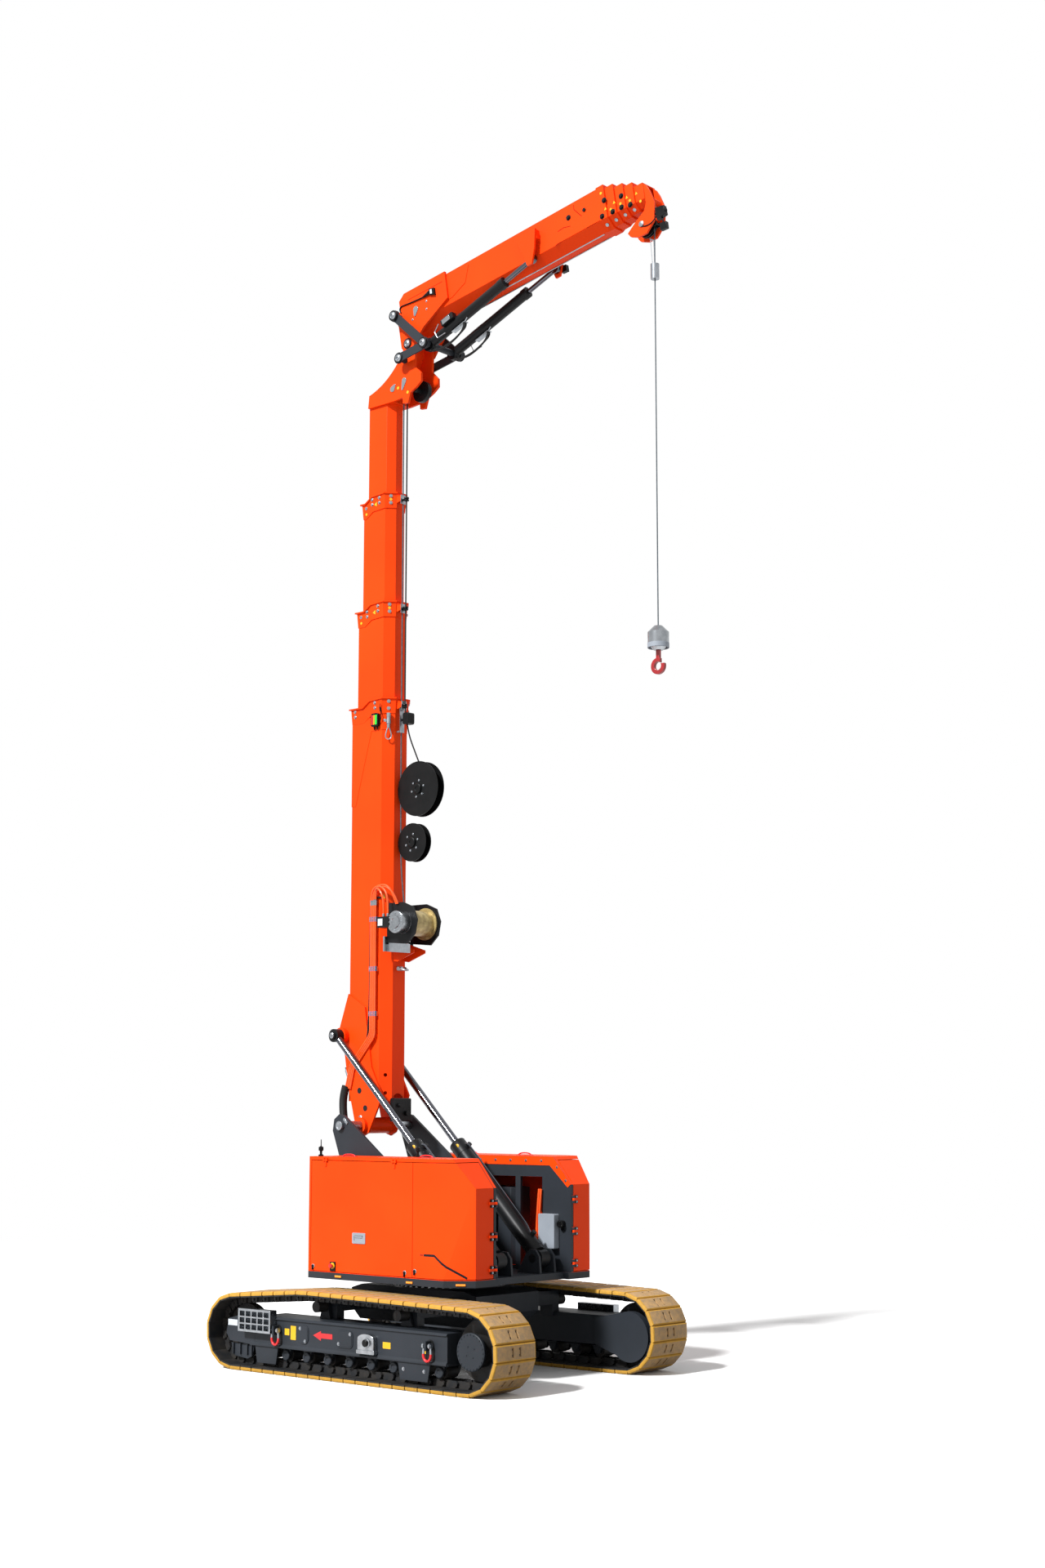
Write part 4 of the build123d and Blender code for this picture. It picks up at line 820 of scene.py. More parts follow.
for word in hands:
    paintFaces(f"{word}_cowl", "greyPaint", lambda centre, normal: (
        abs(centre.y) < walls["inner"] + walls["depth"] and abs(normal.z) < 0.2))
for word, side in hands.items():
    makePiece(f"{word}_lid_edge", "superstructure", "orangePaint", drawLidEdge, side, bevel=0.001)
    level = (walls["lidFoot"] + walls["lidTop"]) / 2
    row = [(walls["firstBolt"] + number * walls["boltPitch"], level) for number in range(walls["bolts"])]
    aim = "left" if side < 0 else "right"
    bolts = [((x, side * (walls["inner"] - walls["edge"]), z), aim) for x, z in (*row, *walls["slopeBolts"])]
    addBolts(f"{word}_lid_bolts", "superstructure", "zinc", bolts, 0.02)

# Side panels and folded doors: latches, handle, stop button, stripe and hinge blocks
panels = {
    "face": 0.995, "handle": ((-0.222, 1.229), (-0.046, 1.330)), "stop": (-0.483, 1.004), "stopThickness": 0.010,
    "latches": {"side": ((-0.760, 0.994), (0.474, 0.992)), "front": ((0.604, 1.012),)},
    "hingeX": 1.196, "hingeY": 0.553, "hingeLevels": (1.03, 1.33, 1.63), "leafNear": 0.026, "leafFar": 0.066,
    "leafHalf": 0.038, "leafThickness": 0.016, "screwShifts": (-0.024, 0.024), "screw": 0.014,
    "markers": ((-0.409, 0.913), (0.539, 0.908)), "markerHalf": 0.042,
    "latchKnob": ((0.015, 0), (0.014, 0.007), (0, 0.008)),
    "latchRing": ((0.021, 0), (0.021, 0.004), (0.017, 0.006), (0, 0.006)),
    "cornerMarker": ((1.055, 0.9235, 0.908), (1.125, 0.867, 0.908)),
}


def drawLatches(bm, side, places):
    face = side * panels["face"]
    for x, z in places:
        addTurned(bm, (x, face + side * 0.006, z), (0, side, 0), panels["latchKnob"], 20)
        addBox(bm, (x - 0.006, face, z - 0.034), (x + 0.006, face + side * 0.018, z - 0.012))


def drawLatchRings(bm, side, places):
    for x, z in places:
        addTurned(bm, (x, side * panels["face"], z), (0, side, 0), panels["latchRing"])


def drawHandleFrame(bm):
    low, high = panels["handle"]
    face = -panels["face"]
    outer = roundedOutline(low, high, 0.012)
    inner = roundedOutline((low[0] + 0.026, low[1] + 0.022), (high[0] - 0.026, high[1] - 0.026), 0.008)
    rows = [[bm.verts.new((x, y, z)) for x, z in outline] for outline, y in (
        (outer, face), (outer, face - 0.007), (inner, face - 0.007), (inner, face - 0.0008))]
    joinRings(bm, rows)
    bm.faces.new(rows[-1])
    addBox(bm, (low[0] + 0.030, face - 0.006, high[1] - 0.046), (high[0] - 0.045, face - 0.0015, high[1] - 0.030))


def drawStopPlate(bm):
    x, z = panels["stop"]
    outline = roundedOutline((x - 0.037, z - 0.044), (x + 0.037, z + 0.044), 0.006)
    addPlate(bm, outline, -panels["face"] - panels["stopThickness"], -panels["face"])


def drawOnStop(bm, lift, profile):
    x, z = panels["stop"]
    addTurned(bm, (x, -panels["face"] - panels["stopThickness"] - lift, z + 0.006), (0, -1, 0), profile, 28)


makePiece("door_handle", "right_side_door", "greyPlastic", drawHandleFrame, bevel=0.001)
makePiece("stop_plate", "right_side_door", "blackPlastic", drawStopPlate, bevel=0.001)
makePiece("stop_ring", "right_side_door", "yellowSign", drawOnStop, 0, [(0.030, 0), (0.030, 0.002), (0, 0.002)])
makePiece("stop_button", "right_side_door", "redPaint", drawOnStop, 0.002, [
    (0.012, 0), (0.012, 0.018), (0.022, 0.020), (0.023, 0.026), (0.018, 0.033), (0, 0.036)])
for word, side in hands.items():
    for kind, places in panels["latches"].items():
        name, rides = f"{word}_{kind}_latch", f"{word}_{kind}_door"
        makePiece(f"{name}es", rides, "blackPlastic", drawLatches, side, places, bevel=0.001)
        makePiece(f"{name}_rings", rides, "zinc", drawLatchRings, side, places)

# Black stripe with two ticks, folded round the front corner
stripe = {"width": 0.022, "lift": 0.0015, "run": ((0.716, 1.163), (0.850, 1.163), (0.944, 1.098)),
          "ticks": (0.672, 0.692), "tickLength": 0.010, "corner": (0.966, 0), "toe": (1.196, 0.185),
          # Where the stripe crosses the folded facet: (share of the way to its toe, level)
          "crossing": ((0.085, 1.068), (0.74, 0.966))}


def drawStripe(bm):
    face, width, level = -panels["face"], stripe["width"], stripe["run"][0][1]
    lift = (0, -stripe["lift"], 0)
    run = [(x, face, z) for x, z in stripe["run"]]
    addRibbon(bm, run, (0.25, 0, 1), lift, width)
    for x in stripe["ticks"]:
        addRibbon(bm, [(x, face, level), (x + stripe["tickLength"], face, level)], (0, 0, 1), lift, width * 0.8)
    # The lower folded facet is upright, from the skirt's corner to its front
    corner, toe = [Vector((x, face + inwards, 0)) for x, inwards in (stripe["corner"], stripe["toe"])]
    out = (toe - corner).normalized().cross(Vector((0, 0, 1))) * stripe["lift"]
    crossing = [corner + (toe - corner) * share + Vector((0, 0, z)) for share, z in stripe["crossing"]]
    addRibbon(bm, [run[-1], crossing[0]], (0.3, 0, 1), out, width)
    addRibbon(bm, crossing, (0.2, 0, 1), out, width)


makePiece("door_stripe", "right_front_door", "blackPaint", drawStripe)


# Hinge blocks at the inner edge of each front door: moulded leaves with two screws
def drawHingeLeaves(bm, side):
    front = panels["hingeX"]
    near, far = [side * (panels["hingeY"] + panels[key]) for key in ("leafNear", "leafFar")]
    for z in panels["hingeLevels"]:
        low, high = z - panels["leafHalf"], z + panels["leafHalf"]
        addBox(bm, (front + 0.0002, near, low), (front + panels["leafThickness"], far, high))


for word, side in hands.items():
    makePiece(f"{word}_hinge_leaves", f"{word}_front_door", "blackPlastic", drawHingeLeaves, side, bevel=0.003)
    middle = side * (panels["hingeY"] + (panels["leafNear"] + panels["leafFar"]) / 2)
    screws = [((panels["hingeX"] + panels["leafThickness"], middle, z + shift), "front")
              for z in panels["hingeLevels"] for shift in panels["screwShifts"]]
    addBolts(f"{word}_hinge_screws", f"{word}_front_door", "zinc", screws, panels["screw"])


# Amber marker lamps round the skirt
def drawMarkers(bm):
    half = panels["markerHalf"]
    for side in hands.values():
        face = side * panels["face"]
        for x, z in panels["markers"]:
            addBox(bm, (x - half, face, z - 0.009), (x + half, face + side * 0.010, z + 0.009))
        run = [(x, side * y, z) for x, y, z in panels["cornerMarker"]]
        addRibbon(bm, run, (0, 0, 1), (0.006, side * 0.008, 0), 0.018)


makePiece("marker_lamps", "superstructure", "amberLens", drawMarkers, bevel=0.002)
print("body dressed")

# Boom: each section as (rear, front, half width, bevel, top) with the body it rides on
boomRuns = {
    "boom": (-1.14, -0.62, 0.18, 0.093, 6.58),
    "boom_section_2": (-1.09, -0.64, 0.16, 0.085, 7.60),
    "boom_section_3": (-1.05, -0.655, 0.14, 0.08, 8.76),
}
collar = {
    "below": 0.165, "above": 0.075, "foot": 0.005, "lip": 0.020, "riseRear": 0.355, "riseFront": 0.255, "bolt": 0.026,
    "sideDrops": (0.036, 0.088), "bevelDrops": (0.040, 0.112), "sign": 0.01488, "signDrop": 0.076, "smallSign": 0.014,
    "triangle": ((-0.026, 0), (0.012, -0.022), (0.012, 0.026)), "cameraRope": (-0.520, -0.045),
    "loadRope": (-0.585, -0.030), "eyeletDrop": 0.018, "armThickness": 0.006, "armSides": (-0.075, -0.015),
    "arm": ((0.019, -0.045), (0.075, -0.030), (0.085, 0.030), (0.024, 0.040)),
    "eyelet": ((0.011, -0.020), (0.024, -0.020), (0.028, -0.008), (0.019, 0.000), (0.028, 0.008), (0.024, 0.020),
               (0.011, 0.020), (0.011, -0.020)),
}
diagonal = 0.707


def flareAt(run, z):
    # How far the flared collar stands out at a level.
    share = (z - run[4] + collar["below"]) / (collar["below"] + collar["above"])
    return collar["foot"] + (collar["lip"] - collar["foot"]) * share


def collarPoint(run, x, drop, side):
    # A point on the collar's side face, drop below its upper edge.
    front, half, top = run[1], run[2], run[4]
    share = min(max((x - front + collar["riseRear"]) / (collar["riseRear"] - collar["riseFront"]), 0), 1)
    z = top + share * (collar["above"] - 0.010) - drop
    return (x, side * (half + flareAt(run, z)), z)


def bevelPoint(run, drop, side, out=0.0):
    # A point on the collar's front bevel, out from its face.
    front, half, bevel, top = run[1:]
    z = top + collar["above"] - drop
    shift = (flareAt(run, z) + out) * diagonal - bevel / 2
    return (front + shift, side * (half + shift), z)


def collarBolts(body, side, word):
    rear, front = boomRuns[body][:2]
    columns = (rear + 0.045, front - 0.185) if body == "boom" else (rear + 0.135, front - 0.155)
    places = [(collarPoint(boomRuns[body], x, drop, side), word) for x in columns for drop in collar["sideDrops"]]
    return places + [(bevelPoint(boomRuns[body], drop, side), f"{word}Bevel") for drop in collar["bevelDrops"]]


def drawSigns(bm, run, side):
    # Blank yellow plates: a round one on the bevel, a round one at the rear and a three-cornered one between.
    out = (diagonal, side * diagonal, 0)
    addDisc(bm, bevelPoint(run, collar["signDrop"], side, 0.0005), out, collar["sign"], 0.0015)
    addDisc(bm, collarPoint(run, run[0] + 0.045, 0.118, side), (0, side, 0), collar["smallSign"], 0.002)
    x, y, z = collarPoint(run, run[1] - 0.205, 0.098, side)
    addPlate(bm, [(x + along, z + up) for along, up in collar["triangle"]], y, y + side * 0.002)


def drawPlug(bm, run, side):
    x, y, z = collarPoint(run, run[0] + 0.045, 0.055, side)
    addCap(bm, (x, y - side * 0.001, z), (0, side, 0), 0.018, 0.007)


def drawEyeletArm(bm, front, top):
    half = collar["armThickness"] / 2
    for y in collar["armSides"]:
        addPlate(bm, [(front + along, top + up) for along, up in collar["arm"]], y - half, y + half)
    addBox(bm, (front + 0.020, -0.078, top + 0.026), (front + 0.085, -0.012, top + 0.031))


def drawEyeletPlate(bm, front, top):
    addBox(bm, (front + 0.083, -0.080, top - 0.062), (front + 0.088, -0.010, top + 0.034))


def drawEyelet(bm, front, top):
    # A turned black eyelet that the camera cable runs through.
    (x, y), z = collar["cameraRope"], top - collar["eyeletDrop"]
    addBar(bm, (front + 0.088, y, z), (x - 0.014, y, z), 0.012, 14)
    addTurned(bm, (x, y, z), (0, 0, 1), collar["eyelet"], 20)


for body, run in boomRuns.items():
    bolts = [place for word, side in hands.items() for place in collarBolts(body, side, word)]
    addBolts(f"{body}_collar_bolts", body, "zinc", bolts, collar["bolt"])
    if body != "boom":
        for word, side in hands.items():
            makePiece(f"{body}_{word}_plates", body, "yellowSign", drawSigns, run, side)
            makePiece(f"{body}_{word}_plug", body, "zinc", drawPlug, run, side)
    edge = (run[1], run[4])
    makePiece(f"{body}_eyelet_arm", body, "orangePaint", drawEyeletArm, *edge, bevel=0.001)
    makePiece(f"{body}_eyelet_plate", body, "zinc", drawEyeletPlate, *edge)
    makePiece(f"{body}_eyelet", body, "blackPlastic", drawEyelet, *edge, bevel=0.001)

# Status lamp, its cable, the rope socket on the bevel and the work lamp, all on the base
lamp = {
    "centre": (-0.785, 6.425), "half": (0.052, 0.070), "face": -0.192, "depth": 0.030,
    # Cable from the case's side: (out from the case, towards the boom, up)
    "cable": ((0, -0.012, -0.030), (0.022, -0.010, -0.012), (0.030, -0.010, 0.040), (0.018, -0.012, 0.085),
              (0.014, -0.016, 0.130), (0.026, -0.020, 0.165)),
    # Lenses: finish and the share of the half width where each begins and ends
    "lenses": {"red": ("redPaint", -0.80, -0.36), "amber": ("amberLens", -0.26, 0.10),
               "green": ("greenLens", 0.20, 0.74)},
}


def drawLampCase(bm):
    (x, z), (across, up), face = lamp["centre"], lamp["half"], lamp["face"]
    addPlate(bm, roundedOutline((x - across, z - up), (x + across, z + up), 0.022), face - lamp["depth"], face)
    for shift in (-0.022, 0.022):
        addBox(bm, (x + shift - 0.006, face - 0.012, z - up - 0.026), (x + shift + 0.006, face, z - up + 0.004))
    cable = [(x + across + out, face + inwards, z + rise) for out, inwards, rise in lamp["cable"]]
    addTube(bm, cable, 0.0045, 8)
    addBar(bm, cable[3], cable[4], 0.009, 12)


def drawLens(bm, low, high):
    (x, z), (across, up), face = lamp["centre"], lamp["half"], lamp["face"] - lamp["depth"]
    addBox(bm, (x + across * low, face - 0.004, z - up * 0.72), (x + across * high, face, z + up * 0.72))


makePiece("status_lamp", "boom", "blackPlastic", drawLampCase, bevel=0.002)
for name, (finish, low, high) in lamp["lenses"].items():
    makePiece(f"status_lens_{name}", "boom", finish, drawLens, low, high, bevel=0.002)

# The socket's loop of rope: (along the bevel, down)
socket = {"drop": 0.175, "out": 0.022, "loop": ((-0.008, 0.140), (-0.028, 0.200), (-0.030, 0.246), (0, 0.266),
                                                (0.030, 0.246), (0.028, 0.200), (0.008, 0.140))}


def drawRopeSocket(bm):
    # Wedge socket with its pin and the rope's dead end in a teardrop loop, held on the bevel.
    out, along = Vector((diagonal, -diagonal, 0)), Vector((diagonal, diagonal, 0))
    top = Vector(bevelPoint(boomRuns["boom"], socket["drop"], -1, socket["out"]))

    def below(down):
        return top - Vector((0, 0, down))

    addBar(bm, below(-0.010), below(0.036), 0.023, 18)
    addBar(bm, below(0.036), below(0.100), 0.021, 18, 0.025)
    addBar(bm, below(0.100), below(0.145), 0.018, 18)
    addDisc(bm, below(0.068) - along * 0.034, out, 0.016, 0.012, 18)
    addTurned(bm, top, -out, [(0.016, 0), (0.012, 0.020), (0, 0.020)], 18)
    addTube(bm, [below(down) + along * shift for shift, down in socket["loop"]], 0.0065, 10)


def drawWorkLamp(bm, front, top):
    addPlate(bm, roundedOutline((front + 0.105, top - 0.215), (front + 0.190, top - 0.095), 0.02), -0.085, 0.005)
    addBox(bm, (front + 0.060, -0.050, top - 0.170), (front + 0.106, -0.030, top - 0.145))


def drawLampStrip(bm, front, top):
    addBox(bm, (front + 0.050, -0.070, top - 0.290), (front + 0.058, -0.010, top - 0.020))
    addBox(bm, (front + 0.006, -0.070, top - 0.290), (front + 0.052, -0.066, top - 0.270))


boomEdge = (boomRuns["boom"][1], boomRuns["boom"][4])
makePiece("rope_socket", "boom", "zinc", drawRopeSocket, bevel=0.001)
makePiece("work_lamp", "boom", "blackPlastic", drawWorkLamp, *boomEdge, bevel=0.004)
makePiece("work_lamp_strip", "boom", "zinc", drawLampStrip, *boomEdge)


# Ropes along the boom's front: each length lies between two sections
def makeLine(name, finish, radius, path, first, second, sides=10):
    # Rides one body when first and second are the same; otherwise it stays where it is drawn, on no body.
    mesh = drawnMesh(name, addTube, path, radius, sides)
    piece = addObject(name, mesh)
    mesh.materials.append(finishes[finish])
    if first == second:
        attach(piece, first)
    else:
        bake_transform(piece)


def straightPath(place, low, high, count=9):
    return [(*place, low + (high - low) * step / (count - 1)) for step in range(count)]


ropes = {
    # name: finish, radius, place, the levels where it passes to the next section, and its run up from drum or reel
    "load_rope": ("steelRope", 0.007, collar["loadRope"], (6.52, 7.56, 8.72, 9.80),
                  ((-0.520, -0.010, 4.370), (-0.560, -0.022, 4.70), (-0.585, -0.030, 5.10))),
    "camera_cable": ("blackRubber", 0.0075, collar["cameraRope"], (6.562, 7.582, 8.742, 9.96),
                     ((-0.338, -0.020, 5.962), (-0.400, -0.030, 6.10), (-0.480, -0.045, 6.30))),
}
sections = (*boomRuns, "boom_section_4")
for name, (finish, radius, place, levels, foot) in ropes.items():
    makeLine(f"{name}_foot", finish, radius, [*foot, (*place, levels[0])], "boom", "boom")
    for number in range(3):
        path = straightPath(place, levels[number], levels[number + 1])
        makeLine(f"{name}_{number + 2}", finish, radius, path, sections[number], sections[number + 1])

# Winch: machined gearbox face with its bolts, pale plate on the motor, hose ends
winch = {"centre": (-0.395, 4.330), "gearFace": -0.282, "gearRadius": 0.108, "gearReach": 0.1125, "gearRear": -0.474,
         "boltRing": 0.084, "hoseStart": -0.809, "hosePitch": 0.021, "hoseFace": -0.213, "ports": (-0.600, -0.540),
         "portFace": -0.245, "hoseRadius": 0.010, "bolt": 0.014}


def drawGearFace(bm):
    (x, z), r = winch["centre"], winch["gearRadius"]
    profile = [(r, 0), (r, 0.006), (r * 0.9, 0.010), (r * 0.62, 0.010), (r * 0.58, 0.020), (r * 0.36, 0.022),
               (r * 0.33, 0.016), (0, 0.016)]
    addTurned(bm, (x, winch["gearFace"], z), (0, -1, 0), profile, 40)


def drawMotorPlate(bm):
    addBox(bm, (-0.625, -0.302, 4.300), (-0.560, -0.300, 4.370))


def drawHoseEnds(bm):
    # Swaged ends and elbows that bring the four hoses to the motor block.
    nut = [(0.014, 0), (0.014, 0.014), (0.008, 0.018), (0.008, 0.030), (0, 0.030)]
    for number in range(4):
        x, y = winch["hoseStart"] + number * winch["hosePitch"], winch["hoseFace"]
        addBar(bm, (x, y, 4.520), (x, y, 4.560), 0.0125, 12)
        addTurned(bm, (x, y, 4.556), (0, 0, 1), nut, 6)
    addBox(bm, (-0.655, -0.262, 4.296), (-0.636, -0.228, 4.330))
    for x in winch["ports"]:
        addBar(bm, (x, winch["portFace"], 4.390), (x, winch["portFace"], 4.425), 0.014, 12)


def drawMotorHoses(bm):
    # Two hoses go to the motor's ports, and two behind the winch.
    near, far = winch["hoseFace"], winch["portFace"]
    for number, x in enumerate(winch["ports"]):
        begin, lift = winch["hoseStart"] + (2 + number) * winch["hosePitch"], number * 0.02
        addTube(bm, [(begin, near, 4.580), (begin, near - 0.003, 4.650 + lift), (begin + 0.060, -0.235, 4.700 + lift),
                     (x - 0.030, far - 0.003, 4.640 + lift), (x, far, 4.540), (x, far, 4.420)],
                winch["hoseRadius"], 10)
    for number in range(2):
        begin, shift, lift = winch["hoseStart"] + number * winch["hosePitch"], number * 0.02, 0.060 - number * 0.02
        addTube(bm, [(begin, near, 4.550), (begin, near - 0.003, 4.600 + lift), (begin + 0.090, -0.225, 4.660 + lift),
                     (-0.560, -0.230, 4.660 + lift), (-0.500 + shift, -0.205, 4.600),
                     (-0.480 + shift, -0.185, 4.520)], winch["hoseRadius"], 10)


makePiece("winch_gear_face", "boom", "castAlloy", drawGearFace)
gearBolts = (winch["centre"][0], winch["gearFace"] - 0.009, winch["centre"][1])
addBolts("winch_gear_bolts", "boom", "zinc", ringPlaces(gearBolts, winch["boltRing"], 12, "right"), winch["bolt"])
makePiece("winch_motor_plate", "boom", "whiteSign", drawMotorPlate)
makePiece("hose_ends", "boom", "zinc", drawHoseEnds, bevel=0.0005)
makePiece("motor_hoses", "boom", "orangeHose", drawMotorHoses)
clamps = {"levels": (4.380, 3.880, 3.430), "half": 0.025, "rear": -0.828, "front": -0.727, "face": -0.2225,
          "screws": (-0.819, -0.7775, -0.736)}


def drawClamps(bm):
    # Moulded clamps close round the four hoses.
    for z in clamps["levels"]:
        low, high = z - clamps["half"], z + clamps["half"]
        addBox(bm, (clamps["rear"], clamps["face"], low), (clamps["front"], -0.206, high))


makePiece("hose_clamps", "boom", "clampPlastic", drawClamps, bevel=0.002)
clampScrews = [((x, clamps["face"], z), "right") for z in clamps["levels"] for x in clamps["screws"]]
addBolts("hose_clamp_screws", "boom", "zinc", clampScrews, 0.012)

# Reels: machined hub caps and rim bolts, each reel as (x, z, half width)
reels = {"large_reel": (-0.328, 5.690, 0.0475), "small_reel": (-0.412, 5.150, 0.040)}
hubProfile = [(0.052, 0), (0.052, 0.012), (0.044, 0.018), (0.022, 0.018), (0.020, 0.012), (0, 0.012)]
for body, (x, z, half) in reels.items():
    hub = (x, -half - 0.001, z)
    makePiece(f"{body}_hub", body, "blackPlastic", addTurned, hub, (0, -1, 0), hubProfile, 28, bevel=0.001)
    addBolts(f"{body}_bolts", body, "zinc", ringPlaces(hub, 0.085, 6, "right", 0.3), 0.016)
print("boom dressed")


def addPair(bm, place, y, profile, sides=28):
    # The same turned cap to the right and to the left, y from the middle.
    for side in hands.values():
        addTurned(bm, (place[0], side * y, place[1]), (0, side, 0), profile, sides)


def wayTo(start, end):
    return Vector((end[0] - start[0], 0, end[1] - start[1])).normalized()


def alongCylinder(cylinder, side, along, up=0.0, across=0.0):
    # along from the foot to the rod's eye, up square to it, across along Y from the cylinder's middle.
    (x, z), way = cylinder["foot"], cylinder["way"]
    normal = Vector((way.z, 0, -way.x)) * cylinder["upwards"]
    return Vector((x, side * cylinder["y"] + across, z)) + way * along + normal * up


# Body pivots: pin caps with keepers on the posts
pivots = {
    "boomPin": (-0.92, 2.32), "postFace": 0.494, "pinFace": 0.520,
    "pinCap": ((0.046, 0), (0.044, 0.008), (0.030, 0.010), (0.022, 0.006), (0, 0.006)),
    "keeper": ((0.030, 0.060), (0.085, 0.010), (0.100, 0.030), (0.050, 0.082)), "keeperThickness": 0.008,
}


def drawPinCaps(bm, side):
    x, z = pivots["boomPin"]
    addTurned(bm, (x, side * pivots["pinFace"], z), (0, side, 0), pivots["pinCap"], 28)
    keeper = [(x + along, z + up) for along, up in pivots["keeper"]]
    addPlate(bm, keeper, side * pivots["postFace"], side * (pivots["postFace"] + pivots["keeperThickness"]))


for word, side in hands.items():
    makePiece(f"{word}_boom_pin_cap", "superstructure", "zinc", drawPinCaps, side, bevel=0.001)

# Luffing cylinders: rings at both ends of the barrels, pipes with their ports, caps, drum covers and rod eyes
luff = {
    "foot": (1.0, 1.085), "eye": (-1.2, 3.217), "y": 0.308, "upwards": 1, "radius": 0.082, "end": 1.52,
    "ports": (1.40, 0.22), "portRadius": 0.024, "portReach": 0.042, "pipeShift": -0.030, "pipeRadius": 0.0095,
    # The cap's place: along, share of the barrel's radius, across
    "cap": (1.455, 0.35, -0.062), "drumShift": 0.105, "footRing": 0.10,
    # The pipe's way: (along, height over its lowest bend)
    "pipe": ((1.425, -0.014), (1.40, 0.010), (1.36, 0.014), (0.90, 0.014), (0.45, 0.014), (0.27, 0.010),
             (0.235, -0.014)),
    "eyeFace": 0.3665, "eyeRadius": 0.078,
    "eyeCap": ((0.030, 0), (0.030, 0.010), (0.024, 0.014), (0.012, 0.014), (0.010, 0.010), (0, 0.010)),
}
luff["way"] = wayTo(luff["foot"], luff["eye"])


def drawBarrelHeads(bm):
    radius = luff["radius"]
    inner, outer = radius - 0.004, radius + 0.003
    gland = [(inner, -0.15), (outer, -0.146), (outer, -0.006), (radius, -0.001), (inner, -0.001), (inner, -0.15)]
    footRing = [(inner, 0), (outer, 0.004), (outer, 0.05), (inner, 0.054), (inner, 0)]
    for side in hands.values():
        addTurned(bm, alongCylinder(luff, side, luff["end"]), luff["way"], gland, 40)
        addTurned(bm, alongCylinder(luff, side, luff["footRing"]), luff["way"], footRing, 40)
        for along in luff["ports"]:
            low, high = [alongCylinder(luff, side, along, up) for up in (radius * 0.9, radius + luff["portReach"])]
            addBar(bm, low, high, luff["portRadius"], 14)


def drawBarrelPipes(bm):
    level = luff["radius"] + 0.030
    for side in hands.values():
        path = [alongCylinder(luff, side, along, level + up, luff["pipeShift"]) for along, up in luff["pipe"]]
        addTube(bm, path, luff["pipeRadius"], 10)


def drawBarrelCaps(bm):
    along, share, across = luff["cap"]
    for side in hands.values():
        start = alongCylinder(luff, side, along, luff["radius"] * share, across)
        addTurned(bm, start, (0, -1, 0), [(0.024, 0), (0.024, 0.012), (0.018, 0.016), (0, 0.016)], 22)


def drawDrumCovers(bm):
    x, z = luff["foot"]
    profile = [(0.050, 0), (0.050, 0.010), (0.040, 0.014), (0, 0.014)]
    for side in hands.values():
        for way in (-1, 1):
            addTurned(bm, (x, side * luff["y"] + way * luff["drumShift"], z), (0, way, 0), profile, 28)


makePiece("barrel_heads", "luff_barrels", "blackPaint", drawBarrelHeads, bevel=0.001)
makePiece("barrel_pipes", "luff_barrels", "chrome", drawBarrelPipes)
makePiece("barrel_caps", "luff_barrels", "yellowSign", drawBarrelCaps, bevel=0.001)
makePiece("cylinder_foot_caps", "superstructure", "blackPaint", drawDrumCovers, bevel=0.001)
makePiece("rod_eye_caps", "luff_rods", "zinc", addPair, luff["eye"], luff["eyeFace"], luff["eyeCap"])
# The rod's eye itself is painted black; only the bar is chromed
paintFaces("luff_rods", "blackPaint", lambda centre, normal: (
    math.dist((centre.x, centre.z), luff["eye"]) < luff["eyeRadius"]))

# Knuckle: domed pins in dark rings at the four pivots, tear-drop keepers and a limit switch with its cable
knuckle = {
    # Each pivot: its place, the face that its domes stand on, and the body
    "pins": {"upper": ((-0.501, 10.658), 0.2865, "link_upper"), "common": ((-0.068, 10.266), 0.2865, "link_upper"),
             "lower": ((-0.457, 10.2), 0.2465, "link_lower"), "fold": ((-0.391, 10.359), 0.1795, "jib")},
    "dome": ((0.042, 0), (0.04116, 0.008), (0.03528, 0.015), (0.03024, 0.016), (0.02772, 0.012), (0.021, 0.017),
             (0.01092, 0.019), (0.00924, 0.012), (0, 0.012)),
    "ring": ((0.056, -0.004), (0.056, 0.006), (0.0504, 0.010), (0.04368, 0.010), (0.04368, 0.002)),
    "tilt": math.radians(9.5), "origin": (-0.391, 10.359), "cheek": 0.178, "keeperThickness": 0.007,
    # Tear-drop keepers: (round head, screw)
    "cheekKeepers": (((0.171, 0.319), (0.150, 0.262)),),
    "headKeepers": (((-0.470, 9.985), (-0.495, 9.900)), ((-0.640, 9.930), (-0.610, 9.965))),
    "headFace": 0.143, "headSigns": ((-0.560, 9.925), (-0.420, 9.850)),
    "screws": ((0.329, 0.344), (0.318, 0.259), (0.108, 0.227), (0.150, 0.262)), "screw": 0.018,
}


def jibPoint(u, v, y):
    # A point of the tilted jib: u along it and v up from it, both from the fold pin.
    c, s = math.cos(knuckle["tilt"]), math.sin(knuckle["tilt"])
    return (knuckle["origin"][0] + u * c - v * s, y, knuckle["origin"][1] + u * s + v * c)


def jibFlat(u, v):
    x, y, z = jibPoint(u, v, 0)
    return (x, z)


def jibOutline(points):
    return [jibFlat(u, v) for u, v in points]


for name, (place, face, body) in knuckle["pins"].items():
    makePiece(f"{name}_pin_domes", body, "zinc", addPair, place, face, knuckle["dome"], 32)
    makePiece(f"{name}_pin_rings", body, "blackPaint", addPair, place, face, knuckle["ring"], 32)


def arcPoints(centre, radius, start, degrees):
    angles = [start + math.radians(turn) for turn in degrees]
    return [(centre[0] + radius * math.cos(angle), centre[1] + radius * math.sin(angle)) for angle in angles]


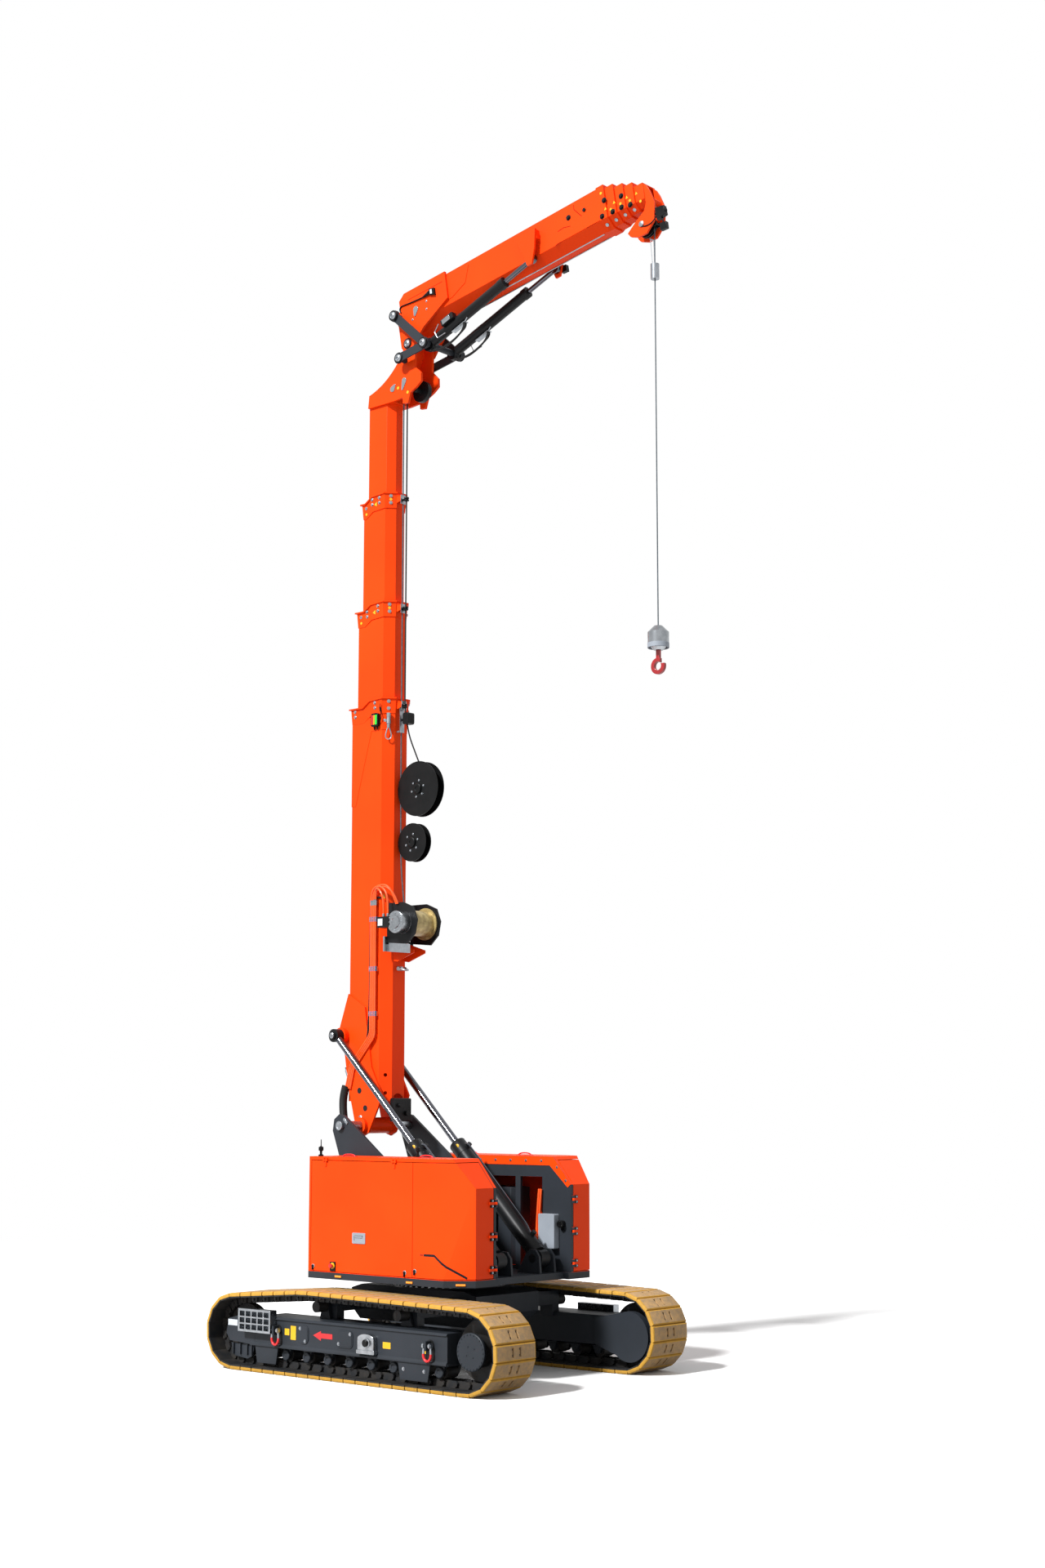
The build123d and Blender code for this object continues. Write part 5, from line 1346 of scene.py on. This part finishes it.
def drawKeepers(bm, places, y, radius):
    # Pressed tear-drop plates: a round head drawn out to one screw.
    for head, tail in places:
        start = math.atan2(tail[1] - head[1], tail[0] - head[0])
        outline = arcPoints(head, radius, start, range(65, 296, 15))
        outline += arcPoints(tail, radius * 0.42, start, (-65, -30, 0, 30, 65))
        for side in hands.values():
            addPlate(bm, outline, side * y, side * (y + knuckle["keeperThickness"]))


def drawHeadSigns(bm):
    for x, z in knuckle["headSigns"]:
        addDisc(bm, (x, -knuckle["headFace"], z), (0, -1, 0), 0.016, 0.002, 20)


cheekKeepers = [jibOutline(pair) for pair in knuckle["cheekKeepers"]]
makePiece("jib_keepers", "jib", "zinc", drawKeepers, cheekKeepers, knuckle["cheek"], 0.034, bevel=0.001)
makePiece("head_keepers", "boom_section_4", "zinc", drawKeepers, knuckle["headKeepers"], knuckle["headFace"], 0.032,
          bevel=0.001)
makePiece("head_signs", "boom_section_4", "yellowSign", drawHeadSigns)
screws = [(jibPoint(u, v, side * knuckle["cheek"]), word)
          for word, side in hands.items() for u, v in knuckle["screws"]]
addBolts("jib_cheek_screws", "jib", "zinc", screws, knuckle["screw"])

# Limit switch on the near cheek: rounded case, tapered neck and a cable that drops behind the cheek
switch = {
    "case": ((0.470, 0.430), (0.400, 0.440), (0.392, 0.380), (0.470, 0.352)), "face": -0.205, "middle": -0.190,
    "plate": ((0.442, 0.425), (0.414, 0.427), (0.414, 0.383), (0.442, 0.375)),
    "neck": ((0.398, 0.408), (0.300, 0.398)),
    "cable": ((0.302, 0.398, -0.190), (0.150, 0.410, -0.186), (0.020, 0.428, -0.186), (-0.027, 0.433, -0.184),
              (-0.055, 0.404, -0.182), (-0.037, 0.364, -0.182)),
}


def drawSwitch(bm):
    addPlate(bm, jibOutline(switch["case"]), switch["face"], -knuckle["cheek"])
    start, end = [jibPoint(u, v, switch["middle"]) for u, v in switch["neck"]]
    addBar(bm, start, end, 0.024, 14, 0.009)
    addTube(bm, [jibPoint(*point) for point in switch["cable"]], 0.0075, 10)


def drawSwitchPlate(bm):
    addPlate(bm, jibOutline(switch["plate"]), switch["face"] - signThickness, switch["face"])


makePiece("fold_switch", "jib", "blackPlastic", drawSwitch, bevel=0.001)
makePiece("fold_switch_plate", "jib", "whiteSign", drawSwitchPlate)

# Cheek edges: a groove along the top and the weld lines of the doubling plate, drawn as thin strips of painted shade,
# as runs of (u, v)
edges = {
    "grooves": (((0.076, 0.466), (0.575, 0.458)),),
    "seams": (((2.116, 0.323), (2.194, 0.331), (2.280, 0.308)),
              ((2.067, 0.195), (2.285, 0.208), (2.378, 0.303), (2.461, 0.270)),
              ((2.470, 0.200), (2.595, 0.200)), ((2.352, 0.506), (2.351, 0.455), (2.430, 0.348))),
    "lift": 0.0008,
}


def drawEdges(bm, lines, side, y, width):
    for line in lines:
        run = [Vector(jibPoint(u, v, side * y)) for u, v in line]
        along = (run[-1] - run[0]).normalized()
        addRibbon(bm, run, along.cross(Vector((0, 1, 0))), (0, side * edges["lift"], 0), width)


# Each strip is painted shade: dark orange where the groove and weld lines lie
for word, side in hands.items():
    makePiece(f"{word}_cheek_grooves", "jib", "seamShade", drawEdges, edges["grooves"], side, knuckle["cheek"], 0.006)
    makePiece(f"{word}_jib_seams", "jib", "seamShade", drawEdges, edges["seams"], side, 0.150, 0.008)

# Jib cylinders: valve block, its plates, the strap that guards it, hose loops and glands
jibCylinder = {
    "foot": (-0.068, 10.266), "lug": (1.778, 0.170), "y": 0.177, "upwards": -1, "radius": 0.052, "end": 1.12,
    # Blocks: (along, up, and across from the barrel's middle)
    "valve": ((0.270, 0.440), (0.020, 0.086), (0.020, 0.085)),
    "plate": ((0.290, 0.400), (0.026, 0.078), (0.085, 0.089)),
    "guard": ((0.330, 0.520), (-0.074, -0.068), (-0.030, 0.030)),
    "strap": ((0.250, 0.060), (0.175, 0.010), (0.185, -0.070), (0.300, -0.085)), "strapShift": 0.098,
    "strapRadius": 0.0042, "hook": ((0.520, -0.070), (0.560, -0.048)), "hookShift": -0.02,
    # Hoses: across, and how far each one hangs
    "hoses": ((0.012, 0.120), (-0.018, 0.150)), "hoseRadius": 0.0095,
}
jibCylinder["way"] = wayTo(jibCylinder["foot"], jibFlat(*jibCylinder["lug"]))


def addSlab(bm, side, along, up, across):
    # A block set square to the cylinder, between two distances along, up and across.
    corners = ((along[0], up[0]), (along[1], up[0]), (along[1], up[1]), (along[0], up[1]))
    rows = [[bm.verts.new(alongCylinder(jibCylinder, side, a, u, c)) for a, u in corners] for c in across]
    joinRings(bm, rows)
    for row in rows:
        bm.faces.new(row)


def drawBlocks(bm, key):
    along, up, across = jibCylinder[key]
    for side in hands.values():
        addSlab(bm, side, along, up, [side * shift for shift in across])


def drawStrap(bm):
    # Bent steel strap below the barrels.
    for side in hands.values():
        path = [alongCylinder(jibCylinder, side, along, up, side * jibCylinder["strapShift"])
                for along, up in jibCylinder["strap"]]
        for first, second in zip(path, path[1:]):
            addBar(bm, first, second, jibCylinder["strapRadius"], 8)
        addSlab(bm, side, *jibCylinder["guard"])
        hook = [alongCylinder(jibCylinder, side, *place, jibCylinder["hookShift"]) for place in jibCylinder["hook"]]
        addBar(bm, *hook, 0.006, 8)


def drawHoseLoops(bm):
    for side in hands.values():
        for shift, drop in jibCylinder["hoses"]:
            way = ((0.500, 0.062), (0.500, 0.100), (0.430, drop), (0.280, drop + 0.020), (0.120, drop),
                   (0.010, 0.080))
            path = [alongCylinder(jibCylinder, side, along, -down, shift) for along, down in way]
            addTube(bm, path, jibCylinder["hoseRadius"], 10)


def drawGlands(bm):
    r = jibCylinder["radius"]
    profile = [(r - 0.003, -0.075), (r + 0.006, -0.070), (r + 0.006, -0.004), (r, -0.0005), (r - 0.003, -0.0005),
               (r - 0.003, -0.075)]
    for side in hands.values():
        addTurned(bm, alongCylinder(jibCylinder, side, jibCylinder["end"]), jibCylinder["way"], profile, 36)


makePiece("jib_valves", "jib_barrels", "blackPaint", drawBlocks, "valve", bevel=0.002)
makePiece("jib_valve_plates", "jib_barrels", "castAlloy", drawBlocks, "plate", bevel=0.001)
makePiece("jib_valve_straps", "jib_barrels", "zinc", drawStrap)
makePiece("jib_valve_hoses", "jib_barrels", "blackRubber", drawHoseLoops)
makePiece("jib_glands", "jib_barrels", "blackPaint", drawGlands)

# Jib sections: collar bolts, round and three-cornered blank plates, all given as (u, v)
jibEnds = {
    "signs": ((2.731, 0.285), (2.834, 0.309), (2.971, 0.306), (3.072, 0.308)),
    "sign": ((-0.0156, -0.0143), (0.0156, -0.0143), (0, 0.0156)),
    "rounds": ((2.704, 0.462), (2.784, 0.254), (2.897, 0.267), (3.001, 0.256), (3.108, 0.205)), "round": 0.014,
    "bolts": ((2.271, 0.404), (2.478, 0.391), (2.731, 0.374), (2.918, 0.340), (2.680, 0.224), (2.803, 0.221),
              (2.903, 0.225), (3.000, 0.212)),
    "bolt": 0.040, "bodies": ("jib", "jib_section_2", "jib_section_3", "jib_section_4", "jib_section_5"),
    "half": 0.15, "halfStep": 0.013, "end": 2.74, "endStep": 0.105, "collar": 0.093, "proud": 0.008,
    # The lower bevel of the first section, with each next one's step, and its screws' distance from the end
    "bevelFoot": (0.195, 0.0052), "bevelBottom": (0.105, 0.013), "bevelIn": 0.045, "screwIn": 0.045,
}


def jibEnd(number):
    return jibEnds["end"] + number * jibEnds["endStep"]


def jibFace(u):
    # The outermost section that still covers this distance along the jib, and its half width there.
    number = min([number for number in range(5) if u < jibEnd(number) + 0.001], default=4)
    face = jibEnds["half"] - number * jibEnds["halfStep"]
    if number < 4 and u > jibEnd(number) - jibEnds["collar"]:
        face += jibEnds["proud"]
    return number, face


def onSection(key, number):
    # Those places of a list that lie on one section: (u, v, half width there).
    return [(u, v, jibFace(u)[1]) for u, v in jibEnds[key] if jibFace(u)[0] == number]


def drawJibSigns(bm, number, side):
    for u, v, face in onSection("signs", number):
        outline = jibOutline([(u + along, v + up) for along, up in jibEnds["sign"]])
        addPlate(bm, outline, side * face, side * (face + signThickness))
    for u, v, face in onSection("rounds", number):
        addDisc(bm, jibPoint(u, v, side * face), (0, side, 0), jibEnds["round"], 0.002, 20)


for number, body in enumerate(jibEnds["bodies"]):
    for word, side in hands.items():
        bolts = [(jibPoint(u, v, side * face), word) for u, v, face in onSection("bolts", number)]
        if bolts:
            addBolts(f"{body}_{word}_bolts", body, "blackPaint", bolts, jibEnds["bolt"])
        if onSection("signs", number) or onSection("rounds", number):
            makePiece(f"{body}_{word}_jib_plates", body, "yellowSign", drawJibSigns, number, side)


# Underside screws of the slide pads, on the lower bevels of each section's collar
def drawPadScrews(bm, number):
    u = jibEnd(number) - jibEnds["screwIn"]
    y = jibEnds["half"] - number * jibEnds["halfStep"] + jibEnds["proud"] - jibEnds["bevelIn"]
    foot, bottom = [first + number * step for first, step in (jibEnds["bevelFoot"], jibEnds["bevelBottom"])]
    profile = [(0.018, -0.004), (0.018, 0.006), (0.012, 0.009), (0, 0.009)]
    for side in hands.values():
        down = Vector(jibPoint(0, -diagonal, side * diagonal)) - Vector(jibPoint(0, 0, 0))
        addTurned(bm, jibPoint(u, (foot + bottom) / 2 - jibEnds["proud"], side * y), down, profile, 18)


for number, body in enumerate(jibEnds["bodies"][:4]):
    makePiece(f"{body}_pad_screws", body, "zinc", drawPadScrews, number)

# Jib tip: pin cap, camera and lamp housings ahead of the sheave with their cable; a lamp on the far hanger
tip = {
    "pin": (2.644, 10.846), "pinFace": 0.092, "pinCap": ((0.030, 0), (0.028, 0.008), (0.018, 0.012), (0, 0.012)),
    "hangerLamp": ((1.800, 0.205), (1.872, 0.200), (1.872, 0.130), (1.800, 0.135)), "hangerFace": (0.2278, 0.275),
    "case": ((3.262, 0.060), (3.362, 0.045), (3.366, -0.050), (3.262, -0.065)), "caseFaces": (-0.104, -0.054),
    "lowCase": ((3.280, -0.110), (3.358, -0.120), (3.356, -0.190), (3.280, -0.185)), "lowFaces": (-0.097, -0.057),
    "arm": ((3.200, 0.020, -0.075), (3.270, 0.010, -0.079)), "armRadius": 0.009,
    "neck": ((3.312, -0.050, -0.078), (3.318, -0.120, -0.078)), "neckRadius": 0.008, "cableRadius": 0.006,
    "cable": ((3.262, -0.010, -0.090), (3.220, -0.060, -0.094), (3.120, -0.070, -0.096), (3.060, -0.040, -0.094)),
    "lens": (3.364, 0.000, -0.079), "lensProfile": ((0.020, 0), (0.020, 0.006), (0.014, 0.010), (0, 0.010)),
}


def drawTipCamera(bm):
    addPlate(bm, jibOutline(tip["case"]), *tip["caseFaces"])
    addPlate(bm, jibOutline(tip["lowCase"]), *tip["lowFaces"])
    for key in ("arm", "neck"):
        addBar(bm, *[jibPoint(*point) for point in tip[key]], tip[f"{key}Radius"], 10)
    addTube(bm, [jibPoint(*point) for point in tip["cable"]], tip["cableRadius"])


def drawTipLens(bm):
    ahead = (math.cos(knuckle["tilt"]), 0, math.sin(knuckle["tilt"]))
    addTurned(bm, jibPoint(*tip["lens"]), ahead, tip["lensProfile"], 22)


lampOutline = jibOutline(tip["hangerLamp"])
makePiece("hanger_lamp", "jib", "blackPlastic", addPlate, lampOutline, *tip["hangerFace"], bevel=0.003)
makePiece("tip_pin_cap", "jib_section_5", "zinc", addPair, tip["pin"], tip["pinFace"], tip["pinCap"], 26)
makePiece("tip_camera", "jib_section_5", "blackPlastic", drawTipCamera, bevel=0.003)
makePiece("tip_lens", "jib_section_5", "blackRubber", drawTipLens)

# Underside of the jib: two bright wear strips
wear = {"rear": 0.75, "front": 2.60, "half": 0.006, "bottom": 0.105, "thickness": 0.005, "y": 0.052}


def drawWearStrip(bm):
    high, low = wear["bottom"], wear["bottom"] - wear["thickness"]
    outline = jibOutline(((wear["rear"], high), (wear["front"], high), (wear["front"], low), (wear["rear"], low)))
    for side in hands.values():
        addPlate(bm, outline, side * wear["y"] - wear["half"], side * wear["y"] + wear["half"])


makePiece("jib_wear_strips", "jib", "zinc", drawWearStrip)
print("knuckle and jib dressed")

# Hook block: a pale band. Limit weight: two light chains that carry it from the tip
block = {"x": 2.7306, "bandFoot": 6.720, "bandHeight": 0.05, "radius": 0.10}
limit = {"top": 10.450, "anchor": 10.700, "topShift": (-0.016, 0.016), "anchorShift": (-0.030, 0.026), "link": 0.0032,
         "barHalf": 0.032}


def drawBlockBand(bm):
    inner, outer, high = block["radius"] - 0.002, block["radius"] + 0.002, block["bandHeight"]
    profile = [(inner, 0), (outer, 0.004), (outer, high - 0.004), (inner, high), (inner, 0)]
    addTurned(bm, (block["x"], 0, block["bandFoot"]), (0, 0, 1), profile, 40)


def drawLimitChains(bm):
    (along, out), (anchorAlong, anchorOut), high = limit["topShift"], limit["anchorShift"], limit["anchor"]
    anchor = block["x"] + anchorAlong
    for way in (-1, 1):
        addTube(bm, [(block["x"] + along, way * out, limit["top"]), (anchor, way * anchorOut, high)], limit["link"])
    addBar(bm, (anchor, -limit["barHalf"], high), (anchor, limit["barHalf"], high), 0.007, 10)


makePiece("hook_block_band", "hook_block", "greyPlastic", drawBlockBand)
makePiece("limit_chains", "load_line", "zinc", drawLimitChains)
print("hook block dressed")

# Winch dressing: bracket plates, gussets, shackle and a blank warning triangle
bracket = {
    # Plates: outline, near and far face
    "plates": ((((-0.640, 4.140), (-0.640, 4.050), (-0.300, 4.020), (-0.300, 4.110)), -0.176, -0.166),
               (((-0.640, 4.200), (-0.640, 4.050), (-0.618, 4.050), (-0.618, 4.200)), -0.210, -0.166)),
    "gusset": ((-0.6195, 4.150), (-0.6195, 3.960), (-0.560, 3.950), (-0.330, 4.030), (-0.330, 4.060)),
    "gussetFaces": (-0.086, 0.074), "gussetThickness": 0.012, "shackle": (-0.560, 3.880),
    # The shackle's bow and lug, from its pin's end: (ahead, y, up) and (ahead, up)
    "bow": ((0, -0.050, 0), (0.050, -0.054, -0.012), (0.090, -0.020, -0.018), (0.050, 0.014, -0.012), (0, 0.010, 0)),
    "lug": ((-0.062, 0.030), (0.012, 0.022), (0.012, -0.022), (-0.062, -0.016)),
    "triangle": ((-0.690, 4.588), (-0.640, 4.588), (-0.665, 4.634)), "pinEnds": (-0.060, 0.020),
}


def drawBracketPlates(bm):
    for outline, near, far in bracket["plates"]:
        addPlate(bm, outline, near, far)


def drawGussets(bm):
    for y in bracket["gussetFaces"]:
        addPlate(bm, bracket["gusset"], y, y + bracket["gussetThickness"])


def drawBoomShackle(bm):
    (x, z), (near, far) = bracket["shackle"], bracket["pinEnds"]
    addBar(bm, (x, near, z), (x, far, z), 0.014, 14)
    addDisc(bm, (x, near, z), (0, -1, 0), 0.020, 0.014, 16)
    addDisc(bm, (x, far, z), (0, 1, 0), 0.020, 0.014, 16)
    addTube(bm, [(x + ahead, y, z + up) for ahead, y, up in bracket["bow"]], 0.011, 12)
    addPlate(bm, [(x + ahead, z + up) for ahead, up in bracket["lug"]], -0.026, -0.014)


makePiece("winch_bracket_plate", "boom", "zinc", drawBracketPlates, bevel=0.001)
makePiece("winch_gusset", "boom", "orangePaint", drawGussets, bevel=0.001)
makePiece("boom_shackle", "boom", "zinc", drawBoomShackle)
makePiece("winch_warning_plate", "boom", "yellowSign", addPlate, bracket["triangle"], -0.1815, -0.180)
# The winch's gearbox is left bare; its frame and motor are painted
paintFaces("winch_frame", "castAlloy", lambda centre, normal: (
    centre.y < -0.178 and centre.x > winch["gearRear"]
    and math.dist((centre.x, centre.z), winch["centre"]) < winch["gearReach"]))

# Boom foot: side cable, hydraulic manifold between the ears, painted shade in the ears' holes and the ears' pins,
# turnbuckle and hose sleeve
foot = {
    "cable": ((-0.700, -0.190, 4.600), (-0.775, -0.192, 4.600), (-0.818, -0.194, 4.570), (-0.838, -0.196, 4.530),
              (-0.838, -0.196, 3.235), (-0.905, -0.204, 3.110), (-1.105, -0.214, 2.900)),
    "manifold": ((-0.615, 2.360), (-0.545, 2.590)), "manifoldHalf": 0.115, "portEnds": (-0.550, -0.515),
    # Ports: (y, level, radius)
    "ports": ((-0.060, 2.520, 0.020), (0.040, 2.440, 0.024)),
    "holes": ((-0.965, 2.665), (-0.879, 2.491)), "holeFace": 0.2022, "pin": (-0.940, 2.395), "pinFace": 0.202,
    "hole": ((0.030, 0), (0.030, 0.0012), (0.022, 0.0006), (0, 0.0006)),
    "pinCap": ((0.026, 0), (0.026, 0.010), (0.018, 0.014), (0.008, 0.010), (0, 0.010)),
    "turnbuckle": ((-1.168, -0.192, 2.870), (-1.118, -0.192, 2.760)),
    "sleeve": ((-1.148, -0.213, 2.712), (-1.175, -0.222, 2.620), (-1.165, -0.235, 2.480), (-1.120, -0.250, 2.320),
               (-1.040, -0.262, 2.190), (-0.980, -0.268, 2.080)), "sleeveRadius": 0.040,
}


def drawFootBlock(bm):
    addPlate(bm, roundedOutline(*foot["manifold"], 0.015), -foot["manifoldHalf"], foot["manifoldHalf"])
    rear, front = foot["portEnds"]
    for y, z, radius in foot["ports"]:
        addBar(bm, (rear, y, z), (front, y, z), radius, 14)


# Thin black discs on both ears' faces: painted shade where the holes are
def drawEarHoleShade(bm):
    for place in foot["holes"]:
        addPair(bm, place, foot["holeFace"], foot["hole"], 26)


def drawTurnbuckle(bm):
    start, end = [Vector(point) for point in foot["turnbuckle"]]
    addBar(bm, start, end, 0.014, 14)
    addBar(bm, end, end + (end - start) * 0.35, 0.007, 10)
    addBar(bm, start, start - (end - start) * 0.25, 0.007, 10)


makePiece("boom_side_cable", "boom", "blackRubber", addTube, foot["cable"], 0.009)
makePiece("boom_foot_block", "boom", "blackPaint", drawFootBlock, bevel=0.002)
makePiece("boom_ear_holes", "boom", "blackRubber", drawEarHoleShade)
makePiece("boom_ear_pins", "boom", "zinc", addPair, foot["pin"], foot["pinFace"], foot["pinCap"], 24)
makePiece("foot_turnbuckle", "boom", "castAlloy", drawTurnbuckle)
# The sleeve lies between the two bodies of the luffing pivot and is left in place, on no body
sleeveMesh = drawnMesh("hose_sleeve", addTube, foot["sleeve"], foot["sleeveRadius"], 18)
sleeveMesh.materials.append(finishes["blackRubber"])
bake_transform(addObject("hose_sleeve", sleeveMesh))

# Cowl tops: red grips and two stub aerials
cowlTops = {
    "level": 2.033, "grips": ((-0.42, 0.86), (0.46, 0.70)), "aerials": ((-0.74, -0.93), (0.21, -0.56)),
    "grip": ((-0.085, 0), (-0.075, 0.022), (0.075, 0.022), (0.085, 0)),
    "aerial": ((0.026, 0), (0.026, 0.012), (0.012, 0.020), (0.012, 0.048), (0.024, 0.056), (0.024, 0.088),
               (0.010, 0.094), (0.005, 0.100), (0.004, 0.160), (0, 0.160)),
}


def drawGrips(bm, side):
    level = cowlTops["level"]
    for x, y in cowlTops["grips"]:
        outline = roundedOutline((x - 0.105, side * y - 0.020), (x + 0.105, side * y + 0.020), 0.018)
        addPlate(bm, outline, level, level + 0.004, "Z")
        addTube(bm, [(x + along, side * y, level + up) for along, up in cowlTops["grip"]], 0.007)


def drawAerials(bm):
    for place in cowlTops["aerials"]:
        addTurned(bm, (*place, cowlTops["level"]), (0, 0, 1), cowlTops["aerial"], 20)


for word, side in hands.items():
    makePiece(f"{word}_cowl_grips", "superstructure", "redPaint", drawGrips, side, bevel=0.001)
makePiece("cowl_aerials", "superstructure", "blackPlastic", drawAerials)

# Far inner wall: grey case, round lamp and the orange cables that run down to the skirt
innerWall = {
    "face": 0.535, "case": ((0.841, 1.161), (1.042, 1.487)), "caseDepth": 0.075, "lamp": (1.095, 1.395),
    "lampProfile": ((0.034, 0), (0.036, 0.050), (0.030, 0.060), (0, 0.060)), "cableShifts": (0, 0.026),
    "cable": ((0.833, 0.515, 1.720), (0.822, 0.500, 1.500), (0.808, 0.498, 1.120), (0.815, 0.505, 0.960)),
}


def drawWallLamp(bm):
    (x, z), face = innerWall["lamp"], innerWall["face"]
    addTurned(bm, (x, face, z), (0, -1, 0), innerWall["lampProfile"], 26)
    addBox(bm, (x - 0.012, face - 0.020, z - 0.060), (x + 0.012, face, z - 0.020))


def drawWallCables(bm):
    for shift in innerWall["cableShifts"]:
        addTube(bm, [(x - shift, y, z) for x, y, z in innerWall["cable"]], 0.011, 10)


caseOutline, wallFace = roundedOutline(*innerWall["case"], 0.012), innerWall["face"]
caseFace = wallFace - innerWall["caseDepth"]
makePiece("wall_case", "superstructure", "greyPlastic", addPlate, caseOutline, caseFace, wallFace, bevel=0.003)
makePiece("wall_lamp", "superstructure", "blackPlastic", drawWallLamp)
makePiece("wall_cables", "superstructure", "orangeHose", drawWallCables)
print("boom foot and cowls dressed")


# Stage: pale floor that fades to white, soft sun from behind the camera's left shoulder, white surroundings
stage = {
    "floorSize": 160.0, "floorTone": "#FBFBFB", "floorRough": 0.9, "bounceTone": "#8A8A8A",
    "fadeFrom": 5.5, "fadeTo": 22.0, "fadeCentre": (0.6, 0.0, 0.0),
    "sunStrength": 5.6, "sunAngle": 6.0, "sunTurn": (48, 0, -6), "skyStrength": 0.5,
    "cameraPlace": (14.831, -15.580, 2.574), "cameraTurn": (98.3, 0.0, 41.5), "lens": 49.7, "sensor": 36,
    "reach": 300,
}


def makeFloorFinish():
    material, tree, shader, place = newMaterial("pale studio floor")
    # White to the camera and in mirrors; greyer as a lamp, so it throws little light up under the machine
    rays = addNode(tree, "ShaderNodeLightPath")
    tone = addMix(tree, rays.outputs["Is Diffuse Ray"], stage["floorTone"], stage["bounceTone"])
    feed(tree, shader, {"Roughness": stage["floorRough"], "Base Color": tone})
    away = addNode(tree, "ShaderNodeVectorMath", {0: place, 1: stage["fadeCentre"]}, operation="DISTANCE")
    fade = addRange(tree, away.outputs["Value"], stage["fadeFrom"], stage["fadeTo"], interpolation_type="SMOOTHSTEP")
    glow = addNode(tree, "ShaderNodeEmission", {"Color": (1, 1, 1, 1), "Strength": 1.0})
    mix = addNode(tree, "ShaderNodeMixShader", {0: fade, 1: shader.outputs["BSDF"], 2: glow.outputs["Emission"]})
    feed(tree, tree.nodes["Material Output"], {"Surface": mix.outputs["Shader"]})
    return material


half = stage["floorSize"] / 2
floorMesh = bpy.data.meshes.new("floor")
floorMesh.from_pydata([(-half, -half, 0), (half, -half, 0), (half, half, 0), (-half, half, 0)], [], [(0, 1, 2, 3)])
floorMesh.materials.append(makeFloorFinish())
addObject("floor", floorMesh)

world = bpy.data.worlds.new("studio")
world.use_nodes = True
bpy.context.scene.world = world
# White to the camera and in mirrors and glass; dimmer as a lamp
sky = world.node_tree
rays = addNode(sky, "ShaderNodeLightPath").outputs
seen = addNode(sky, "ShaderNodeMath", {0: rays["Is Camera Ray"], 1: rays["Is Glossy Ray"]}, operation="MAXIMUM")
through = {0: seen.outputs["Value"], 1: rays["Is Transmission Ray"]}
shown = addNode(sky, "ShaderNodeMath", through, operation="MAXIMUM")
level = addRange(sky, shown.outputs["Value"], 0.0, 1.0, stage["skyStrength"], 1.0)
feed(sky, sky.nodes["Background"], {"Color": (1, 1, 1, 1), "Strength": level})


def turnAll(degrees):
    return [math.radians(turn) for turn in degrees]


sunData = bpy.data.lights.new("sun", "SUN")
sunData.energy = stage["sunStrength"]
sunData.angle = math.radians(stage["sunAngle"])
addObject("sun", sunData).rotation_euler = turnAll(stage["sunTurn"])

cameraData = bpy.data.cameras.new("camera")
cameraData.lens = stage["lens"]
cameraData.sensor_fit = "VERTICAL"
cameraData.sensor_height = stage["sensor"]
cameraData.clip_end = stage["reach"]
camera = addObject("camera", cameraData)
camera.location = stage["cameraPlace"]
camera.rotation_euler = turnAll(stage["cameraTurn"])
bpy.context.scene.camera = camera
bpy.context.scene.view_settings.view_transform = "Standard"
print("stage ready")
